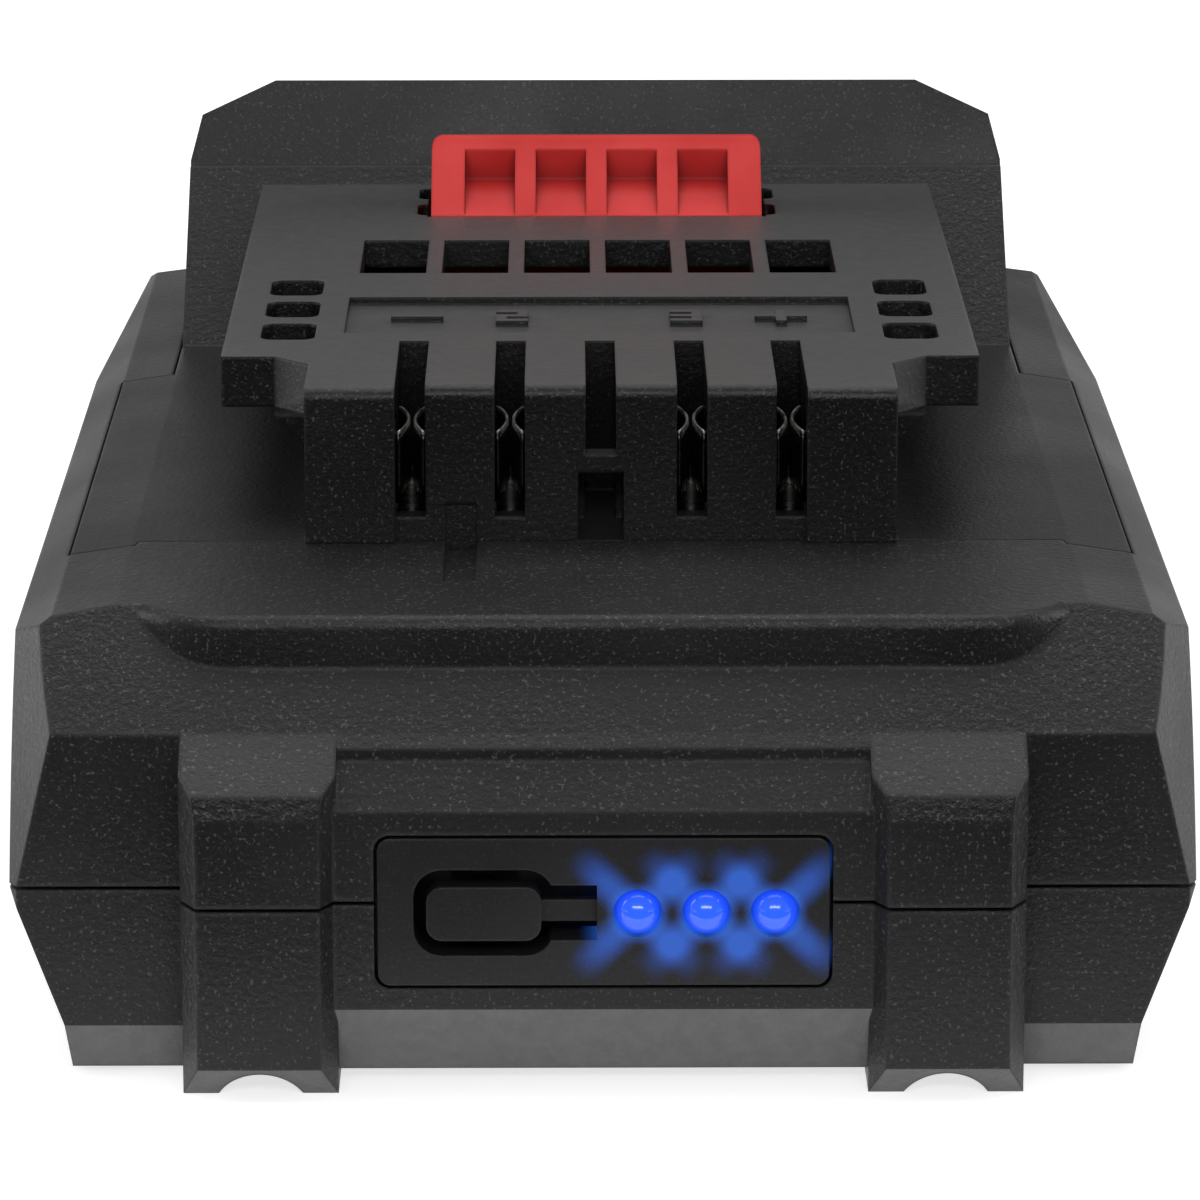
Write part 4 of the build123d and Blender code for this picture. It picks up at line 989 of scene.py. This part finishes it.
@dataclass
class Contacts:
    """The four spring forks behind the outer slots of the terminal block.

    Each leaf is nearest to the middle plane halfway, at the pinch, and leaves it
    by the flare at both ends. A lip opens the mouth at the top.
    """

    nodes: tuple[str, ...] = ("contact_minus", "contact_temperature", "contact_code", "contact_plus")
    leaf: float = 0.26 * MM
    flare: float = 0.70 * MM
    pinch: float = 0.06 * MM
    leaf_low: float = 31.9 * MM
    lip: float = 0.056 * MM
    lip_from: float = 0.7
    foot_half: float = 0.92 * MM
    foot_depth_share: float = 0.76
    foot_overlap: float = 0.4 * MM
    foot_round: float = 0.18 * MM
    round_steps: int = 3
    steps: int = 14
    rows: int = 6

    def build(self) -> None:
        """Replace each plain fork by bowed leaves on a folded foot."""
        for name in self.nodes:
            low, high = (Vector(c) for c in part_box(name))
            mesh = bmesh.new()
            middle_x = (low.x + high.x) / 2
            for side in (-1, 1):
                self.bow(mesh, middle_x, side, low, high)
            self.foot(mesh, middle_x, low, high)
            piece = new_piece(name.replace("contact", "fork"), mesh, CONTACT, Body.PACK)
            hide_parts(name)

    def bow(self, mesh: bmesh.types.BMesh, x: float, side: int, low: Vector, high: Vector) -> None:
        """Add one bowed leaf whose two ends flare away from the middle plane.

        Args:
            mesh: Mesh to add to.
            x: Middle plane of the fork.
            side: Minus one for the left leaf, one for the right.
            low: Lowest corner of the fork's box.
            high: Highest corner of the fork's box.
        """
        columns = []
        for i in range(self.steps + 1):
            share = i / self.steps
            y = low.y + (high.y - low.y) * share
            gap = self.pinch + (self.flare - self.pinch) * (2 * share - 1) ** 2
            column = []
            for k in range(self.rows + 1):
                z = self.leaf_low + (high.z - self.leaf_low) * k / self.rows
                lip = self.lip * max(0.0, k / self.rows - self.lip_from) / (1.0 - self.lip_from)
                inner = mesh.verts.new((x + side * (gap + lip), y, z))
                outer = mesh.verts.new((x + side * (gap + self.leaf), y, z))
                column.append((inner, outer))
            columns.append(column)
        self.close_leaf(mesh, columns)

    def close_leaf(self, mesh: bmesh.types.BMesh,
                   columns: list[list[tuple[bmesh.types.BMVert, bmesh.types.BMVert]]]) -> None:
        """Lay the faces of one leaf: both sides, top and bottom, and both ends.

        Args:
            mesh: Mesh to add to.
            columns: The leaf's inner and outer points, column by column.
        """
        for first, second in zip(columns, columns[1:]):
            for k in range(self.rows):
                for face in (0, 1):
                    mesh.faces.new((first[k][face], second[k][face],
                                    second[k + 1][face], first[k + 1][face]))
            for k in (0, self.rows):
                mesh.faces.new((first[k][0], second[k][0], second[k][1], first[k][1]))
        for column in (columns[0], columns[-1]):
            for k in range(self.rows):
                mesh.faces.new((column[k][0], column[k + 1][0], column[k + 1][1], column[k][1]))

    def foot(self, mesh: bmesh.types.BMesh, x: float, low: Vector, high: Vector) -> None:
        """Add the folded foot that stands on the board, with rounded corners.

        Args:
            mesh: Mesh to add to.
            x: Middle plane of the fork.
            low: Lowest corner of the fork's box.
            high: Highest corner of the fork's box.
        """
        made = bmesh.ops.create_cube(mesh, size=1.0)
        middle_y = (low.y + high.y) / 2
        width = 2 * self.foot_half
        depth = (high.y - low.y) * self.foot_depth_share
        height = self.leaf_low + self.foot_overlap - low.z
        for vert in made["verts"]:
            vert.co = Vector((x + vert.co.x * width, middle_y + vert.co.y * depth,
                              low.z + (vert.co.z + 0.5) * height))
        edges = [e for e in mesh.edges if all(v in made["verts"] for v in e.verts)]
        bmesh.ops.bevel(mesh, geom=edges, offset=self.foot_round, segments=self.round_steps,
                        affect="EDGES")


@dataclass
class ChargeGauge:
    """Front panel, check button, three lit lenses, and the boards and carriers inside."""

    lenses: tuple[str, ...] = ("gauge_lens_1", "gauge_lens_2", "gauge_lens_3")

    def dress(self, frame: dict) -> None:
        """Finish the gauge, the boards and the carriers.
        """
        give_finish(frame, GLOW_PANEL, "gauge_panel")
        give_finish(frame, PANEL, "gauge_button")
        give_finish(frame, LENS, *self.lenses)
        give_finish(frame, BOARD, "control_board")
        give_finish(frame, DARK_BOARD, "gauge_board")
        give_finish(frame, LAMPS, "gauge_lights")
        give_finish(frame, CHIPS, "gauge_switch", "switch_plunger", "contact_carrier")
        give_finish(frame, FILM, "gauge_ribbon")


@dataclass
class CellPack:
    """Cells, rings, straps, foam, frame halves, chips and screws."""

    count: int = 5
    strap_count: int = 6

    def dress(self, frame: dict) -> None:
        """Finish everything between the shells.
        """
        give_finish(frame, SLEEVE, *(f"cell_{i + 1}" for i in range(self.count)))
        give_finish(frame, NICKEL, *(f"cell_strap_{i + 1}" for i in range(self.strap_count)))
        give_finish(frame, PAPER, "cell_insulators")
        give_finish(frame, FOAM, "foam_sheet")
        give_finish(frame, FRAME, "cell_frame_left", "cell_frame_right")
        give_finish(frame, CHIPS, "board_parts", "temperature_sensor")
        give_finish(frame, SCREW, "frame_screws", "housing_screws")


@dataclass(frozen=True)
class Softbox:
    """A rectangular lamp that faces a point."""

    name: str
    place: Point
    aim: Point
    width: float
    height: float
    watts: float

    def hang(self) -> None:
        """Put the lamp into the scene."""
        data = bpy.data.lights.new(self.name, "AREA")
        data.shape = "RECTANGLE"
        data.size = self.width
        data.size_y = self.height
        data.energy = self.watts
        lamp = bpy.data.objects.new(self.name, data)
        lamp.location = self.place
        way = Vector(self.aim) - Vector(self.place)
        lamp.rotation_euler = way.to_track_quat("-Z", "Y").to_euler()
        bpy.context.collection.objects.link(lamp)


@dataclass
class Studio:
    """Pale floor, plain soft light and the camera at the photograph's angle.

    The sky's pairs give how white it is seen at the upward part of a direction.
    """

    camera_place: Point = (-2.262 * MM, -434.36 * MM, 130.68 * MM)
    lens_mm: float = 189.0
    sensor_mm: float = 36.0
    pitch: float = 14.6633
    yaw: float = 0.312
    roll: float = -0.025
    floor_size: float = 3.0
    floor_white: float = 0.55
    floor_lit: float = 0.72
    flag_white: float = 0.03
    flag_width: float = 1.6
    flag_near: float = -0.080
    flag_far: float = -0.75
    flag_height: float = 0.7
    flag_lift: float = 0.5 * MM
    room_light: float = 0.30
    sky: tuple[tuple[float, float], ...] = ((0.0, 1.0), (0.07, 1.0), (0.16, 0.27), (1.0, 0.20))
    lamps: list[Softbox] = field(default_factory=lambda: [
        Softbox("top_softbox", (0.0, 0.15, 0.75), (0.0, 0.0, 0.0), 0.8, 0.6, 2.8),
        Softbox("front_softbox", (0.0, -0.62, 0.34), (0.0, 0.04, 0.04), 0.6, 0.12, 1.9),
        Softbox("left_strip", (-0.8, 0.05, 0.28), (0.0, 0.0, 0.02), 0.35, 0.8, 2.9),
        Softbox("right_strip", (0.8, 0.05, 0.28), (0.0, 0.0, 0.02), 0.35, 0.8, 2.9),
    ])

    def build(self) -> None:
        """Set up the whole studio."""
        self.camera()
        self.floor()
        self.flag()
        self.world()
        for lamp in self.lamps:
            lamp.hang()
        bpy.context.scene.view_settings.view_transform = "Standard"

    def camera(self) -> None:
        """Place the camera."""
        data = bpy.data.cameras.new("photo_camera")
        data.lens = self.lens_mm
        data.sensor_width = self.sensor_mm
        camera = bpy.data.objects.new("photo_camera", data)
        camera.location = self.camera_place
        turns = ((-self.yaw, "Z"), (90 - self.pitch, "X"), (self.roll, "Z"))
        yaw, pitch, roll = (Matrix.Rotation(math.radians(angle), 4, axis) for angle, axis in turns)
        camera.rotation_euler = (yaw @ pitch @ roll).to_euler()
        bpy.context.collection.objects.link(camera)
        bpy.context.scene.camera = camera

    def floor(self) -> None:
        """Lay a pale floor that keeps the pack's shadow."""
        mesh = bmesh.new()
        bmesh.ops.create_grid(mesh, x_segments=1, y_segments=1, size=self.floor_size)
        r = Recipe("pale_floor")
        plain = r.diffuse(scaled(WHITE, self.floor_white))
        lit = r.add("ShaderNodeEmission")
        r.join(r.maths("MULTIPLY", r.seen_directly(), self.floor_lit), lit.inputs["Strength"])
        both = r.add("ShaderNodeAddShader")
        r.join(plain, both.inputs[0])
        r.join(lit.outputs["Emission"], both.inputs[1])
        r.join(both.outputs["Shader"], r.output.inputs["Surface"])
        floor = studio_object("floor", mesh, r.material)

    def flag(self) -> None:
        """Stand a dark flag in front, as in a studio, so that the front faces read dark.

        Only reflections see it: it casts no shadow and takes no light from the pack.
        """
        mesh = bmesh.new()
        half = self.flag_width / 2
        corner_lines = ((self.flag_near, self.flag_lift), (self.flag_far, self.flag_lift),
                        (self.flag_far, self.flag_height))
        rows = [[mesh.verts.new((x, y, z)) for x in (-half, half)] for y, z in corner_lines]
        for near, far in zip(rows, rows[1:]):
            mesh.faces.new((near[0], near[1], far[1], far[0]))
        r = Recipe("dark_cloth")
        r.join(r.diffuse(scaled(WHITE, self.flag_white)), r.output.inputs["Surface"])
        flag = studio_object("front_flag", mesh, r.material)
        flag.visible_camera = False
        flag.visible_shadow = False
        flag.visible_diffuse = False

    def world(self) -> None:
        """White background for the camera, plain soft light for the pack."""
        world = bpy.data.worlds.new("studio")
        world.use_nodes = True
        g = Graph(world.node_tree, "ShaderNodeOutputWorld")
        room = g.add("ShaderNodeBackground")
        room.inputs["Color"].default_value = opaque(WHITE)
        room.inputs["Strength"].default_value = self.room_light
        sky = g.add("ShaderNodeBackground")
        sky.inputs["Color"].default_value = opaque(WHITE)
        height = g.split(g.add("ShaderNodeTexCoord").outputs["Generated"]).outputs["Z"]
        whites = g.ramp(height, [(place, scaled(WHITE, white)) for place, white in self.sky])
        g.join(whites, sky.inputs["Strength"])
        mix = g.add("ShaderNodeMixShader")
        g.join(g.seen_directly(), mix.inputs["Fac"])
        g.join(room.outputs["Background"], mix.inputs[1])
        g.join(sky.outputs["Background"], mix.inputs[2])
        g.join(mix.outputs["Shader"], g.output.inputs["Surface"])
        bpy.context.scene.world = world


def main() -> None:
    """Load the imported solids, dress them and set up the studio."""
    logging.basicConfig(level=logging.INFO, format="%(name)s: %(message)s")
    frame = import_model()
    Studio().build()
    Housing().dress(frame)
    GuideCover().dress(frame)
    latch = Latch()
    latch.dress(frame)
    latch.build_springs()
    Contacts().build()
    ChargeGauge().dress(frame)
    CellPack().dress(frame)


if __name__ == "__main__":
    main()
